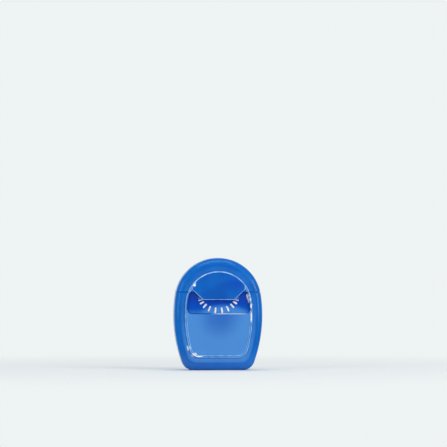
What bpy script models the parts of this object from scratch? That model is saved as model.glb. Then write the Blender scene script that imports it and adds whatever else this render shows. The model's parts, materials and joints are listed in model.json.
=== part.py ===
"""Flip-top dental floss dispenser, standing on its base with its front facing -Y.

Two half shells carry a spool of floss, a deck with the floss guide and the cutter, and a lid
that swings back about a barrel hinge. Metres, +Z up, origin at the centre of the base.
"""

import math

import bmesh
import bpy
from mathutils import Vector

MM = 0.001

# Case: an arch seen from the front, with a flat base, bowed sides and a round top
CASE_WIDTH = 36.5 * MM
CASE_HEIGHT = 46.2 * MM
CASE_DEPTH = 13.0 * MM
BASE_WIDTH = 27.16 * MM
WIDEST_BELOW_LID = 9.6 * MM
CORNER_RADIUS = 4.9 * MM
BACK_ROUND = 2.5 * MM
WALL = 1.2 * MM

# Shoulder: the rounded band that falls from the front rim to the sides
SHOULDER_DEPTH = 3.0 * MM
SHOULDER_SIDE = 4.1 * MM
SHOULDER_TOP = 5.2 * MM
SHOULDER_BOTTOM = 5.0 * MM
RIM_CORNER = 4.3 * MM

# Rim: the raised ridge round the front, with the panel sunk inside it
RIM_RISE = 0.8 * MM
RIM_DRAFT = 0.2 * MM
RIM_EDGE = 0.4 * MM
RIM_FLAT = 0.3 * MM
PANEL_DROP = 0.3 * MM

# Parting lines: between the lid and the shells, and between the two shells
LID_HEIGHT = 14.0 * MM
LID_GAP = 0.3 * MM
SEAM_GAP = 0.2 * MM
LIP_HEIGHT = 0.8 * MM
LIP_GAP = 0.2 * MM

# Plate: the D-shaped plateau on the lid, whose lower end is the thumb tab
PLATE_PROUD = 0.25 * MM
PLATE_INSET = 0.45 * MM
PLATE_SIDE_INSET = 1.2 * MM
PLATE_CORNER_RISE = 1.2 * MM
PLATE_CORNER_DROP = 1.3 * MM
PLATE_EDGE = 0.3 * MM
TAB_DROP = 3.2 * MM
TAB_HALF_WIDTH = 6.5 * MM
TAB_THICKNESS = 1.1 * MM

# Scoop: the thumb recess under the tab, with a fan of grip ribs and the bead that holds the lid
SCOOP_HEIGHT = 8.8 * MM
SCOOP_CORNER = 2.0 * MM
SCOOP_STEP = 0.4 * MM
SCOOP_EDGE = 0.2 * MM
SCOOP_INSET = 0.3 * MM
SCOOP_DEPTH = 1.65 * MM
RIB_COUNT = 13
RIB_CENTRE_DROP = 1.8 * MM
RIB_EDGE_GAP = 0.4 * MM
RIB_OUTER_WIDE = 8.6 * MM
RIB_LENGTH_WIDE = 3.0 * MM
RIB_LENGTH_HIGH = 2.2 * MM
RIB_WIDTH = 0.55 * MM
RIB_RISE = 0.4 * MM
RIB_END_SHARES = ((0, 0.2), (0.12, 1), (0.88, 1), (1, 0.2))
RIB_CREST_SHARE = 0.5
RIB_FIRST_ANGLE = math.radians(-170)
RIB_LAST_ANGLE = math.radians(-10)
CATCH_BELOW_LID = 1.5 * MM
CATCH_RADIUS = 0.45 * MM
CATCH_LENGTH = 6.0 * MM
HOOK_RADIUS = 0.35 * MM
HOOK_ABOVE_EDGE = 0.5 * MM

# Hinge: knuckles level with the lid's parting line, set into the back
BARREL_RADIUS = 1.3 * MM
BARREL_SET_IN = 0.1 * MM
SEAT_MARGIN = 0.05 * MM
KNUCKLE_WIDTH = 8.0 * MM
KNUCKLE_END_GAP = 0.2 * MM
PIN_RADIUS = 0.66 * MM
PIN_CLEARANCE = 0.09 * MM
PIN_LENGTH = 2.8 * MM
OPEN_ANGLE = math.radians(110)
STOP_GAP = 0.15 * MM

# Spool and the post that it turns on
SPOOL_ROOM = 2.4 * MM
SPOOL_GAP = 0.3 * MM
FLANGE_THICKNESS = 0.8 * MM
HUB_RADIUS = 4.6 * MM
POST_RADIUS = 2.1 * MM
POST_CLEARANCE = 0.1 * MM
POST_TIP_LENGTH = 1.2 * MM
POST_CHAMFER = 0.4 * MM
COLLAR_WIDTH = 1.3 * MM
COLLAR_HEIGHT = 0.3 * MM
SOCKET_CLEARANCE = 0.25 * MM
SOCKET_SET_IN = 0.1 * MM

# Floss: a plain inner pack, one wound outer layer, and the strand that leaves it
STRAND = 0.5 * MM
TURN_GAP = 0.45 * MM
PACK_BELOW_FLANGE = 2.5 * MM
PACK_SIDE_GAP = 0.3 * MM
TURN_SINK = 0.1 * MM
LEAD_GAP = 0.35 * MM

# Deck across the mouth of the case, with the guide turret and the cutter's post
DECK_THICKNESS = 1.2 * MM
DECK_BELOW_LID = 1.9 * MM
DECK_GAP = 0.3 * MM
DECK_CORNER = 1.4 * MM
LEDGE_HEIGHT = 1.2 * MM
LEDGE_REACH = 1.8 * MM
LEDGE_DEPTH = 2.2 * MM
LEDGE_OFFSET = 1.0 * MM
GUIDE_PLACE = -5.2 * MM
GUIDE_HEIGHT = 3.0 * MM
GUIDE_BASE_RADIUS = 2.3 * MM
GUIDE_TOP_RADIUS = 1.5 * MM
GUIDE_LIP = 0.35 * MM
GUIDE_HOLE_RADIUS = 0.6 * MM
GUIDE_MOUTH_RADIUS = 1.1 * MM
CUTTER_PLACE = 5.6 * MM
CUTTER_WIDTH = 4.8 * MM
CUTTER_HINGE_GAP = 0.95 * MM
CUTTER_LEG = 1.8 * MM
CUTTER_SHEET = 0.3 * MM
CUTTER_FIT = 0.15 * MM
CUTTER_POST_HEIGHT = 2.4 * MM
TOOTH_EDGE_GAP = 0.75 * MM
TOOTH_WIDTH = 1.8 * MM
TOOTH_TIP_WIDTH = 0.3 * MM
TOOTH_STRAIGHT_SHARE = 0.45
TOOTH_ANGLE = math.radians(50)
WINDOW_MARGIN = 0.35 * MM

# Bosses that pin the two shells together
BOSS_RADIUS = 1.5 * MM
BOSS_WALL_GAP = 0.6 * MM
BOSS_LOW_LEVEL = 6.0 * MM
BOSS_BELOW_LID = 6.6 * MM
BOSS_ROOT_SHARE = 0.75
BOSS_PIN_RADIUS = 0.9 * MM
BOSS_PIN_LENGTH = 3.0 * MM
BOSS_PIN_CLEARANCE = 0.1 * MM

# How far cutters run past what they cut, and how far joined shapes overlap
OVERRUN = 5.0 * MM
SINK = 0.4 * MM

# Points closer than this are one point
SAME_PLACE = 0.001 * MM

# Facets
CORNER_STEPS = 6
SIDE_STEPS = 10
TOP_STEPS = 15
BACK_STEPS = 5
SHOULDER_STEPS = 7
EDGE_STEPS = 3
SCOOP_STEPS = 7
BARREL_STEPS = 24
SPOOL_STEPS = 48
SMALL_STEPS = 20
LOOP_POINTS = 24
ROUTE_STEPS = 5
SHARP_ANGLE = math.radians(32)

# Places worked out from the sizes above
FRONT_Y = -CASE_DEPTH / 2
BACK_Y = CASE_DEPTH / 2
RIM_Y = FRONT_Y + PLATE_PROUD
PANEL_Y = RIM_Y + PANEL_DROP
LID_LEVEL = CASE_HEIGHT - LID_HEIGHT
WIDEST_LEVEL = LID_LEVEL - WIDEST_BELOW_LID
SIDE_BOW = (CASE_WIDTH - BASE_WIDTH) / 2
SIDE_RADIUS = (WIDEST_LEVEL**2 + SIDE_BOW**2) / (2 * SIDE_BOW)
FOOT_Y = RIM_Y + RIM_RISE
SHOULDER_Y = FOOT_Y + SHOULDER_DEPTH
RIM_WIDTH = RIM_DRAFT + RIM_EDGE + RIM_FLAT + PANEL_DROP
RIM_SHARE = 1.0
INNER_BACK_Y = BACK_Y - WALL
LID_LOW = LID_LEVEL + LID_GAP / 2
SHELL_TOP = LID_LEVEL - LID_GAP / 2
PLATE_CORNER_LEVEL = LID_LEVEL + PLATE_CORNER_RISE
TAB_LEVEL = LID_LEVEL - TAB_DROP
SCOOP_LEVEL = LID_LEVEL - SCOOP_HEIGHT
SCOOP_FOOT_Y = PANEL_Y + SCOOP_STEP
SCOOP_TOP_Y = PANEL_Y + SCOOP_DEPTH
POCKET_Y = SCOOP_TOP_Y + WALL
TAB_BACK_Y = FRONT_Y + TAB_THICKNESS
RIB_LEVEL = LID_LEVEL - RIB_CENTRE_DROP
RIB_OUTER_HIGH = RIB_LEVEL - SCOOP_LEVEL - RIB_EDGE_GAP
HINGE_Y = BACK_Y - BARREL_SET_IN - BARREL_RADIUS
HINGE_SEAT_RADIUS = BARREL_RADIUS + BARREL_SET_IN + STOP_GAP + SEAT_MARGIN
BORE_RADIUS = (PIN_RADIUS + PIN_CLEARANCE) / math.cos(math.pi / BARREL_STEPS)
DECK_TOP = LID_LEVEL - DECK_BELOW_LID
DECK_LOW = DECK_TOP - DECK_THICKNESS
SPOOL_LEVEL = (DECK_LOW + WALL) / 2
FLANGE_RADIUS = (DECK_LOW - WALL) / 2 - SPOOL_ROOM
PACK_RADIUS = FLANGE_RADIUS - PACK_BELOW_FLANGE
BOSS_HIGH_LEVEL = LID_LEVEL - BOSS_BELOW_LID
COLLAR_Y = INNER_BACK_Y - COLLAR_HEIGHT
SPOOL_BACK_Y = COLLAR_Y - SPOOL_GAP
SPOOL_FRONT_Y = POCKET_Y + SPOOL_GAP
SPOOL_MIDDLE_Y = (SPOOL_BACK_Y + SPOOL_FRONT_Y) / 2
SPOOL_BORE_RADIUS = (POST_RADIUS + POST_CLEARANCE) / math.cos(math.pi / SPOOL_STEPS)
TURN_RADIUS = PACK_RADIUS + STRAND / 2 - TURN_SINK
TURN_PITCH = STRAND + TURN_GAP
LEAD_RADIUS = TURN_RADIUS + STRAND + LEAD_GAP
PACK_WIDTH = SPOOL_BACK_Y - SPOOL_FRONT_Y - 2 * FLANGE_THICKNESS - 2 * PACK_SIDE_GAP
LOOP_COUNT = int((PACK_WIDTH - STRAND) / TURN_PITCH)
DECK_FRONT_Y = POCKET_Y + DECK_GAP
DECK_BACK_Y = INNER_BACK_Y - DECK_GAP
GUIDE_TOP = DECK_TOP + GUIDE_HEIGHT
POST_TOP = DECK_TOP + CUTTER_POST_HEIGHT
CUTTER_TOP = POST_TOP + CUTTER_FIT + CUTTER_SHEET
CUTTER_HALF_DEPTH = HINGE_Y - BARREL_RADIUS - CUTTER_HINGE_GAP - SPOOL_MIDDLE_Y
TOOTH_LENGTH = 2 * (CUTTER_HALF_DEPTH - TOOTH_EDGE_GAP)


def spread(first, last, count):
    """count + 1 evenly spaced values from first to last."""
    return [first + (last - first) * i / count for i in range(count + 1)]


def arc(centre, radius, start, end, count):
    """Points of an arc in a plane, both ends included."""
    return [
        (centre[0] + radius * math.cos(angle), centre[1] + radius * math.sin(angle))
        for angle in spread(start, end, count)
    ]


def edge_round(radius):
    """(distance out, depth) down a rounded edge, from its side to its top."""
    return [
        (radius * math.cos(angle), radius * (1 - math.sin(angle)))
        for angle in spread(0, math.pi / 2, EDGE_STEPS)
    ]


def mirrored(half):
    """A whole outline from its right half, which starts and ends at or near the middle."""
    return half + [(-across, up) for across, up in reversed(half) if across > SAME_PLACE]


def add_solid(name, mesh):
    """A new object from a closed bmesh, its faces pointing out."""
    bmesh.ops.recalc_face_normals(mesh, faces=mesh.faces)
    data = bpy.data.meshes.new(name)
    mesh.to_mesh(data)
    mesh.free()
    solid = bpy.data.objects.new(name, data)
    bpy.context.scene.collection.objects.link(solid)
    return solid


def loft(name, rings, closed=False):
    """A solid through rings of as many points each, capped, or joined end to end if closed."""
    mesh = bmesh.new()
    rows = [[mesh.verts.new(point) for point in ring] for ring in rings]
    following_rows = rows[1:] + rows[:1] if closed else rows[1:]
    for row, following in zip(rows, following_rows):
        for i, corner in enumerate(row):
            j = (i + 1) % len(row)
            mesh.faces.new((corner, row[j], following[j], following[i]))
    if not closed:
        mesh.faces.new(rows[0])
        mesh.faces.new(rows[-1])
    return add_solid(name, mesh)


def front_prism(name, outline, front, back):
    """An (x, z) outline carried along Y."""
    return loft(name, [[(x, y, z) for x, z in outline] for y in (front, back)])


def side_prism(name, outline, left, right):
    """A (y, z) outline carried along X."""
    return loft(name, [[(x, y, z) for y, z in outline] for x in (left, right)])


def block(name, low, high):
    """A box between two corners."""
    outline = [(low[0], low[2]), (high[0], low[2]), (high[0], high[2]), (low[0], high[2])]
    return front_prism(name, outline, low[1], high[1])


def round_bar(name, axis, centre, stations, steps):
    """A turned solid along an axis through centre, with a (place, radius) for each ring."""
    along = Vector([float(axis == letter) for letter in "XYZ"])
    first = Vector((along.y + along.z, along.x, 0))
    second = along.cross(first)
    rings = []
    for place, radius in stations:
        middle = Vector(centre) + along * place
        turns = arc((0, 0), radius, 0, 2 * math.pi, steps)[:-1]
        rings.append([middle + first * across + second * up for across, up in turns])
    return loft(name, rings)


def turned_ring(name, centre, profile, steps):
    """A ring about Y through centre, from a closed (radius, y) profile."""
    rings = []
    for angle in spread(0, 2 * math.pi, steps)[:-1]:
        out = Vector((math.cos(angle), 0, math.sin(angle)))
        rings.append([Vector(centre) + out * radius + Vector((0, y, 0)) for radius, y in profile])
    return loft(name, rings, closed=True)


def combine(target, other, operation):
    """Applies one Boolean to target and removes the other solid."""
    step = target.modifiers.new(operation, "BOOLEAN")
    step.operation = operation
    step.solver = "EXACT"
    step.object = other
    bpy.context.view_layer.update()
    graph = bpy.context.evaluated_depsgraph_get()
    result = bpy.data.meshes.new_from_object(target.evaluated_get(graph))
    target.modifiers.remove(step)
    used = [target.data, other.data]
    target.data = result
    bpy.data.objects.remove(other)
    for data in used:
        bpy.data.meshes.remove(data)


def join(target, *others):
    for other in others:
        combine(target, other, "UNION")


def cut(target, *others):
    for other in others:
        combine(target, other, "DIFFERENCE")


def keep_inside(target, other):
    combine(target, other, "INTERSECT")


class Arch:
    """One ring of the case seen from the front, at an inset and a share of the shoulder."""

    def __init__(self, inset, share):
        across = inset + share * SHOULDER_SIDE
        self.low = inset + share * SHOULDER_BOTTOM
        high = CASE_HEIGHT - inset - share * SHOULDER_TOP
        self.corner_radius = (1 - share) * CORNER_RADIUS + share * RIM_CORNER - inset
        self.side_radius = SIDE_RADIUS - across
        self.side_x = CASE_WIDTH / 2 - SIDE_RADIUS
        rise = high - WIDEST_LEVEL
        self.top_radius = (self.side_radius**2 - rise**2 - self.side_x**2) / (
            2 * (self.side_radius - rise)
        )
        self.top_z = high - self.top_radius
        self.corner_z = self.low + self.corner_radius
        reach = self.side_radius - self.corner_radius
        self.corner_x = self.side_x + math.sqrt(reach**2 - (WIDEST_LEVEL - self.corner_z) ** 2)
        self.side_start = math.atan2(self.corner_z - WIDEST_LEVEL, self.corner_x - self.side_x)
        self.side_end = math.atan2(self.top_z - WIDEST_LEVEL, -self.side_x)

    def outline(self):
        corner = (self.corner_x, self.corner_z)
        side = (self.side_x, WIDEST_LEVEL)
        half = [(0, self.low)]
        half += arc(corner, self.corner_radius, -math.pi / 2, self.side_start, CORNER_STEPS)
        half += arc(side, self.side_radius, self.side_start, self.side_end, SIDE_STEPS)[1:]
        half += arc((0, self.top_z), self.top_radius, self.side_end, math.pi / 2, TOP_STEPS)[1:]
        return mirrored(half)

    def half_width(self, level):
        """Half the arch's width at a level above its corners."""
        if level > WIDEST_LEVEL + self.side_radius * math.sin(self.side_end):
            return math.sqrt(self.top_radius**2 - (level - self.top_z) ** 2)
        return self.side_x + math.sqrt(self.side_radius**2 - (level - WIDEST_LEVEL) ** 2)


def case_stations(offset):
    """(inset, share of the shoulder, y) of the case's rings, back to front, offset inwards."""
    rows = []
    for angle in spread(0, math.pi / 2, BACK_STEPS):
        inset = offset + (BACK_ROUND - offset) * (1 - math.sin(angle))
        rows.append((inset, 0, BACK_Y - BACK_ROUND + (BACK_ROUND - offset) * math.cos(angle)))
    for angle in spread(0, math.pi / 2, SHOULDER_STEPS):
        y = SHOULDER_Y - (SHOULDER_DEPTH - offset) * math.sin(angle)
        rows.append((offset * math.cos(angle), RIM_SHARE - math.cos(angle), y))
    return rows


def lofted_case(name, rows):
    rings = [[(x, y, z) for x, z in Arch(inset, share).outline()] for inset, share, y in rows]
    return loft(name, rings)


def case_form(name):
    """The whole case outside: back, sides, shoulder, rim and sunk panel."""
    rows = case_stations(0)
    for out, y in edge_round(RIM_EDGE):
        rows.append((RIM_DRAFT + RIM_EDGE - out, RIM_SHARE, RIM_Y + y))
    for out, y in reversed(edge_round(PANEL_DROP)):
        rows.append((RIM_WIDTH - PANEL_DROP + out, RIM_SHARE, RIM_Y + y))
    return lofted_case(name, rows)


def case_wall(name):
    """The case as one hollow wall, before it is parted into shells and lid."""
    wall = case_form(name)
    rows = case_stations(WALL)
    rows.append((RIM_WIDTH, RIM_SHARE, PANEL_Y + WALL))
    cut(wall, lofted_case("cavity", rows))
    return wall


def slab(name, front=FRONT_Y - OVERRUN, back=BACK_Y + OVERRUN, low=-OVERRUN, high=CASE_HEIGHT + OVERRUN):
    """A box wider than the case, between the given faces."""
    reach = CASE_WIDTH / 2 + OVERRUN
    return block(name, (-reach, front, low), (reach, back, high))


def scoop_y(level):
    """Depth of the scoop's hollow floor at a level."""
    share = min((level - SCOOP_LEVEL) / (LID_LEVEL - SCOOP_LEVEL), 1)
    return SCOOP_FOOT_Y + (SCOOP_TOP_Y - SCOOP_FOOT_Y) * math.sin(share * math.pi / 2)


def scoop_outline(arch, low, corner, high):
    """Seen from the front: a straight lower edge, round corners, and sides along the arch."""
    corner_x = arch.half_width(low + corner) - corner
    half = arc((corner_x, low + corner), corner, -math.pi / 2, 0, CORNER_STEPS)
    levels = spread(low + corner, LID_LEVEL, SCOOP_STEPS)[1:]
    half += [(arch.half_width(level), level) for level in levels]
    half.append((arch.half_width(LID_LEVEL), high))
    return mirrored(half)


def scoop_cutter():
    """The scoop's hollow, whose edge is rounded where it meets the panel."""
    places = [(0, POCKET_Y)]
    places += [(SCOOP_EDGE - out, PANEL_Y + SCOOP_EDGE - y) for out, y in edge_round(SCOOP_EDGE)]
    places.append((SCOOP_EDGE, FRONT_Y - OVERRUN))
    rings = []
    for flare, y in places:
        arch = Arch(RIM_WIDTH + SCOOP_INSET - flare, RIM_SHARE)
        low, corner = SCOOP_LEVEL - flare, SCOOP_CORNER + flare
        outline = scoop_outline(arch, low, corner, LID_LEVEL + OVERRUN)
        rings.append([(x, y, z) for x, z in outline])
    cutter = loft("scoop", rings)
    levels = spread(SCOOP_LEVEL, LID_LEVEL, SCOOP_STEPS)
    floor = [(scoop_y(level), level) for level in levels]
    floor = [(SCOOP_FOOT_Y, SCOOP_LEVEL - OVERRUN)] + floor
    floor.append((SCOOP_TOP_Y, LID_LEVEL + 2 * OVERRUN))
    far = FRONT_Y - 2 * OVERRUN
    profile = floor + [(far, LID_LEVEL + 2 * OVERRUN), (far, SCOOP_LEVEL - OVERRUN)]
    keep_inside(cutter, side_prism("scoop_floor", profile, -CASE_WIDTH, CASE_WIDTH))
    return cutter


def grip_rib(name, angle):
    """One ridge on the scoop's floor, pointing away from the tab."""
    outer = Vector((RIB_OUTER_WIDE * math.cos(angle), RIB_OUTER_HIGH * math.sin(angle)))
    length = Vector((RIB_LENGTH_WIDE * math.cos(angle), RIB_LENGTH_HIGH * math.sin(angle)))
    inner = outer - length
    side = (outer - inner).orthogonal().normalized() * RIB_WIDTH / 2
    rings = []
    for place_share, rise_share in RIB_END_SHARES:
        across, up = inner.lerp(outer, place_share)
        level = RIB_LEVEL + up
        floor = scoop_y(level)
        rise = RIB_RISE * rise_share
        ring = []
        for width_share, y in (
            (1, floor + SINK),
            (1, floor - rise / 2),
            (RIB_CREST_SHARE, floor - rise),
            (-RIB_CREST_SHARE, floor - rise),
            (-1, floor - rise / 2),
            (-1, floor + SINK),
        ):
            ring.append((across + side.x * width_share, y, level + side.y * width_share))
        rings.append(ring)
    return loft(name, rings)


def boss_places():
    """(x, z) of the four bosses, clear of the side walls."""
    inner = Arch(WALL, 0)
    for level in (BOSS_LOW_LEVEL, BOSS_HIGH_LEVEL):
        across = inner.half_width(level) - BOSS_WALL_GAP - BOSS_RADIUS
        yield -across, level
        yield across, level


def ledges(name, middle_y):
    """Two shelves under the deck, one on each side wall."""
    top = DECK_LOW - DECK_GAP
    low = top - LEDGE_HEIGHT
    wall_x = Arch(WALL / 2, 0).half_width(top)
    inner_x = Arch(WALL, 0).half_width(top) - LEDGE_REACH
    near, far = middle_y - LEDGE_DEPTH / 2, middle_y + LEDGE_DEPTH / 2
    return [
        block(name, (-wall_x, near, low), (-inner_x, far, top)),
        block(name, (inner_x, near, low), (wall_x, far, top)),
    ]


def front_shell():
    shell = case_wall("front_shell")
    region = slab("region", back=-SEAM_GAP / 2)
    lip = Arch((WALL + LIP_GAP) / 2, 0).outline()
    join(region, front_prism("lip", lip, -SEAM_GAP - SINK, LIP_HEIGHT))
    keep_inside(shell, region)

    pocket = scoop_outline(Arch(0, RIM_SHARE), SCOOP_LEVEL - WALL, SCOOP_CORNER, LID_LEVEL + OVERRUN)
    join(shell, front_prism("pocket", pocket, FOOT_Y + SINK, POCKET_Y))
    keep_inside(shell, slab("below_lid", high=SHELL_TOP))
    cut(shell, scoop_cutter())
    for angle in spread(RIB_FIRST_ANGLE, RIB_LAST_ANGLE, RIB_COUNT - 1):
        join(shell, grip_rib("rib", angle))
    catch_level = LID_LEVEL - CATCH_BELOW_LID
    ends = [(-CATCH_LENGTH / 2, CATCH_RADIUS), (CATCH_LENGTH / 2, CATCH_RADIUS)]
    join(shell, round_bar("catch", "X", (0, scoop_y(catch_level), catch_level), ends, SMALL_STEPS))

    root_y = FOOT_Y + WALL * (1 - BOSS_ROOT_SHARE) + SINK
    for x, z in boss_places():
        stations = [(root_y, BOSS_RADIUS), (-SEAM_GAP, BOSS_RADIUS)]
        join(shell, round_bar("boss", "Y", (x, 0, z), stations, SMALL_STEPS))
        tip = BOSS_PIN_LENGTH - BOSS_PIN_RADIUS / 2
        stations = [
            (-SEAM_GAP - SINK, BOSS_PIN_RADIUS),
            (tip, BOSS_PIN_RADIUS),
            (BOSS_PIN_LENGTH, BOSS_PIN_RADIUS / 2),
        ]
        join(shell, round_bar("pin", "Y", (x, 0, z), stations, SMALL_STEPS))
    join(shell, *ledges("ledge", SHOULDER_Y / 2))

    socket_radius = POST_RADIUS + SOCKET_CLEARANCE
    profile = [
        (socket_radius, PANEL_Y + WALL - SINK),
        (socket_radius, POCKET_Y - SOCKET_SET_IN),
        (socket_radius + COLLAR_WIDTH, POCKET_Y - SOCKET_SET_IN),
        (socket_radius + COLLAR_WIDTH, PANEL_Y + WALL - SINK),
    ]
    join(shell, turned_ring("post_socket", (0, 0, SPOOL_LEVEL), profile, SMALL_STEPS))
    return shell


def hinge_bar(name, left, right, radius):
    stations = [(left, radius), (right, radius)]
    return round_bar(name, "X", (0, HINGE_Y, LID_LEVEL), stations, BARREL_STEPS)


def hinge_turn(out, rise, angle):
    """(y, z) of a point given beside and above the hinge, once the lid has swung by angle."""
    y = HINGE_Y + out * math.cos(angle) + rise * math.sin(angle)
    return y, LID_LEVEL + rise * math.cos(angle) - out * math.sin(angle)


def knuckle_slot(name, left, right):
    """Room for a knuckle in the back wall: round at the front, open at the back."""
    seat = HINGE_SEAT_RADIUS
    outline = arc((HINGE_Y, LID_LEVEL), seat, math.pi / 2, 3 * math.pi / 2, BARREL_STEPS // 2)
    outline += [(BACK_Y + OVERRUN, LID_LEVEL - seat), (BACK_Y + OVERRUN, LID_LEVEL + seat)]
    return side_prism(name, outline, left, right)


def lid_slot(name, left, right):
    """A knuckle's seat whose lower side slopes back, where the open lid comes to rest."""
    seat = HINGE_SEAT_RADIUS
    face = BACK_Y - HINGE_Y + STOP_GAP
    rise = math.sqrt(seat**2 - face**2)
    last = 2 * math.pi + math.atan2(rise, face) - OPEN_ANGLE
    outline = arc((HINGE_Y, LID_LEVEL), seat, math.pi / 2, last, BARREL_STEPS // 2)
    outline.append(hinge_turn(face, 2 * OVERRUN, OPEN_ANGLE))
    outline.append((outline[-1][0], LID_LEVEL + seat))
    return side_prism(name, outline, left, right)


def knuckle_relief(name, left, right):
    """Where the back wall of the open lid lies below the shell's own knuckle."""
    face = BACK_Y - HINGE_Y + 2 * STOP_GAP
    low, high = BARREL_RADIUS, BARREL_RADIUS + OVERRUN
    corners = ((0, low), (face, low), (face, high), (0, high))
    outline = [hinge_turn(out, rise, OPEN_ANGLE) for out, rise in corners]
    return side_prism(name, outline, left, right)


def back_shell():
    shell = case_wall("back_shell")
    region = slab("region", front=SEAM_GAP / 2)
    rebate = Arch((WALL - LIP_GAP) / 2, 0).outline()
    cut(region, front_prism("rebate", rebate, -SINK, LIP_HEIGHT + LIP_GAP))
    join(region, slab("deep", front=LIP_HEIGHT + LIP_GAP))
    keep_inside(shell, region)
    keep_inside(shell, slab("below_lid", high=SHELL_TOP))

    half = KNUCKLE_WIDTH / 2
    far = CASE_WIDTH / 2 + OVERRUN
    join(shell, hinge_bar("knuckle", -half - SINK, half + SINK, BARREL_RADIUS))
    cut(shell, knuckle_relief("relief", -far, far))
    cut(shell, lid_slot("seat", -far, -half), lid_slot("seat", half, far))
    cut(shell, hinge_bar("bore", -half - OVERRUN, half + OVERRUN, BORE_RADIUS))

    for x, z in boss_places():
        stations = [(SEAM_GAP / 2, BOSS_RADIUS), (INNER_BACK_Y + SINK, BOSS_RADIUS)]
        boss = round_bar("boss", "Y", (x, 0, z), stations, SMALL_STEPS)
        radius = (BOSS_PIN_RADIUS + BOSS_PIN_CLEARANCE) / math.cos(math.pi / SMALL_STEPS)
        stations = [(-SINK, radius), (BOSS_PIN_LENGTH + SINK, radius)]
        cut(boss, round_bar("socket", "Y", (x, 0, z), stations, SMALL_STEPS))
        join(shell, boss)
    join(shell, *ledges("ledge", (LIP_HEIGHT + LIP_GAP + INNER_BACK_Y) / 2 - LEDGE_OFFSET))

    collar = [(COLLAR_Y, POST_RADIUS + COLLAR_WIDTH), (INNER_BACK_Y + SINK, POST_RADIUS + COLLAR_WIDTH)]
    join(shell, round_bar("collar", "Y", (0, 0, SPOOL_LEVEL), collar, SPOOL_STEPS))
    tip_y = SPOOL_FRONT_Y - POST_TIP_LENGTH
    stations = [
        (tip_y, POST_RADIUS - POST_CHAMFER),
        (tip_y + POST_CHAMFER, POST_RADIUS),
        (COLLAR_Y + SINK / 2, POST_RADIUS),
    ]
    join(shell, round_bar("post", "Y", (0, 0, SPOOL_LEVEL), stations, SPOOL_STEPS))
    return shell


def plate_outline(inset):
    """The D seen from the front: a level tab edge, slanting sides and the arch's own round top."""
    arch = Arch(PLATE_INSET + inset, RIM_SHARE)
    corner_x = Arch(PLATE_SIDE_INSET + inset, RIM_SHARE).half_width(PLATE_CORNER_LEVEL)
    corner_angle = math.acos(corner_x / arch.top_radius)
    slant = corner_x - PLATE_CORNER_DROP / 2
    half = [
        (TAB_HALF_WIDTH - inset, TAB_LEVEL + inset),
        (slant, PLATE_CORNER_LEVEL - PLATE_CORNER_DROP / 2),
        (corner_x, PLATE_CORNER_LEVEL),
    ]
    half += arc((0, arch.top_z), arch.top_radius, corner_angle, math.pi / 2, TOP_STEPS)
    return mirrored(half)


def lid():
    cover = case_wall("lid")
    keep_inside(cover, slab("above_parting", low=LID_LOW))

    rows = [(0, TAB_BACK_Y)]
    rows += [(PLATE_EDGE - out, FRONT_Y + y) for out, y in edge_round(PLATE_EDGE)]
    rings = [[(x, y, z) for x, z in plate_outline(inset)] for inset, y in rows]
    join(cover, loft("plate", rings))
    hook_level = TAB_LEVEL + HOOK_ABOVE_EDGE
    ends = [(-CATCH_LENGTH / 2, HOOK_RADIUS), (CATCH_LENGTH / 2, HOOK_RADIUS)]
    join(cover, round_bar("hook", "X", (0, TAB_BACK_Y, hook_level), ends, SMALL_STEPS))

    far = CASE_WIDTH / 2 + OVERRUN
    half = KNUCKLE_WIDTH / 2 + KNUCKLE_END_GAP
    barrel = hinge_bar("barrel", -far, far, BARREL_RADIUS)
    keep_inside(barrel, lofted_case("outside", case_stations(BARREL_SET_IN)))
    join(cover, barrel)
    cut(cover, knuckle_slot("notch", -half, half))
    for side in (-1, 1):
        ends = sorted((side * (half + SINK), side * (half + KNUCKLE_END_GAP - PIN_LENGTH)))
        join(cover, hinge_bar("pin", *ends, PIN_RADIUS))
    return cover


def spool_core():
    back, front = SPOOL_BACK_Y, SPOOL_FRONT_Y
    profile = [
        (SPOOL_BORE_RADIUS, front),
        (FLANGE_RADIUS, front),
        (FLANGE_RADIUS, front + FLANGE_THICKNESS),
        (HUB_RADIUS, front + FLANGE_THICKNESS),
        (HUB_RADIUS, back - FLANGE_THICKNESS),
        (FLANGE_RADIUS, back - FLANGE_THICKNESS),
        (FLANGE_RADIUS, back),
        (SPOOL_BORE_RADIUS, back),
    ]
    return turned_ring("spool_core", (0, 0, SPOOL_LEVEL), profile, SPOOL_STEPS)


def lead_angle():
    """Angle about the spool at which the strand leaves for the guide."""
    up = DECK_LOW - SPOOL_LEVEL
    reach = math.hypot(GUIDE_PLACE, up)
    return math.atan2(up, GUIDE_PLACE) + math.acos(LEAD_RADIUS / reach)


def strand(name, points):
    """A round strand along points, as a mesh."""
    curve = bpy.data.curves.new(name, "CURVE")
    curve.dimensions = "3D"
    curve.bevel_depth = STRAND / 2
    curve.bevel_resolution = 1
    curve.use_fill_caps = True
    line = curve.splines.new("POLY")
    line.points.add(len(points) - 1)
    for corner, point in zip(line.points, points):
        corner.co = (*point, 1)
    source = bpy.data.objects.new(name, curve)
    bpy.context.scene.collection.objects.link(source)
    bpy.context.view_layer.update()
    graph = bpy.context.evaluated_depsgraph_get()
    data = bpy.data.meshes.new_from_object(source.evaluated_get(graph))
    bpy.data.objects.remove(source)
    mesh = bmesh.new()
    mesh.from_mesh(data)
    bpy.data.meshes.remove(data)
    bmesh.ops.remove_doubles(mesh, verts=mesh.verts, dist=SAME_PLACE)
    return add_solid(name, mesh)


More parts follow.
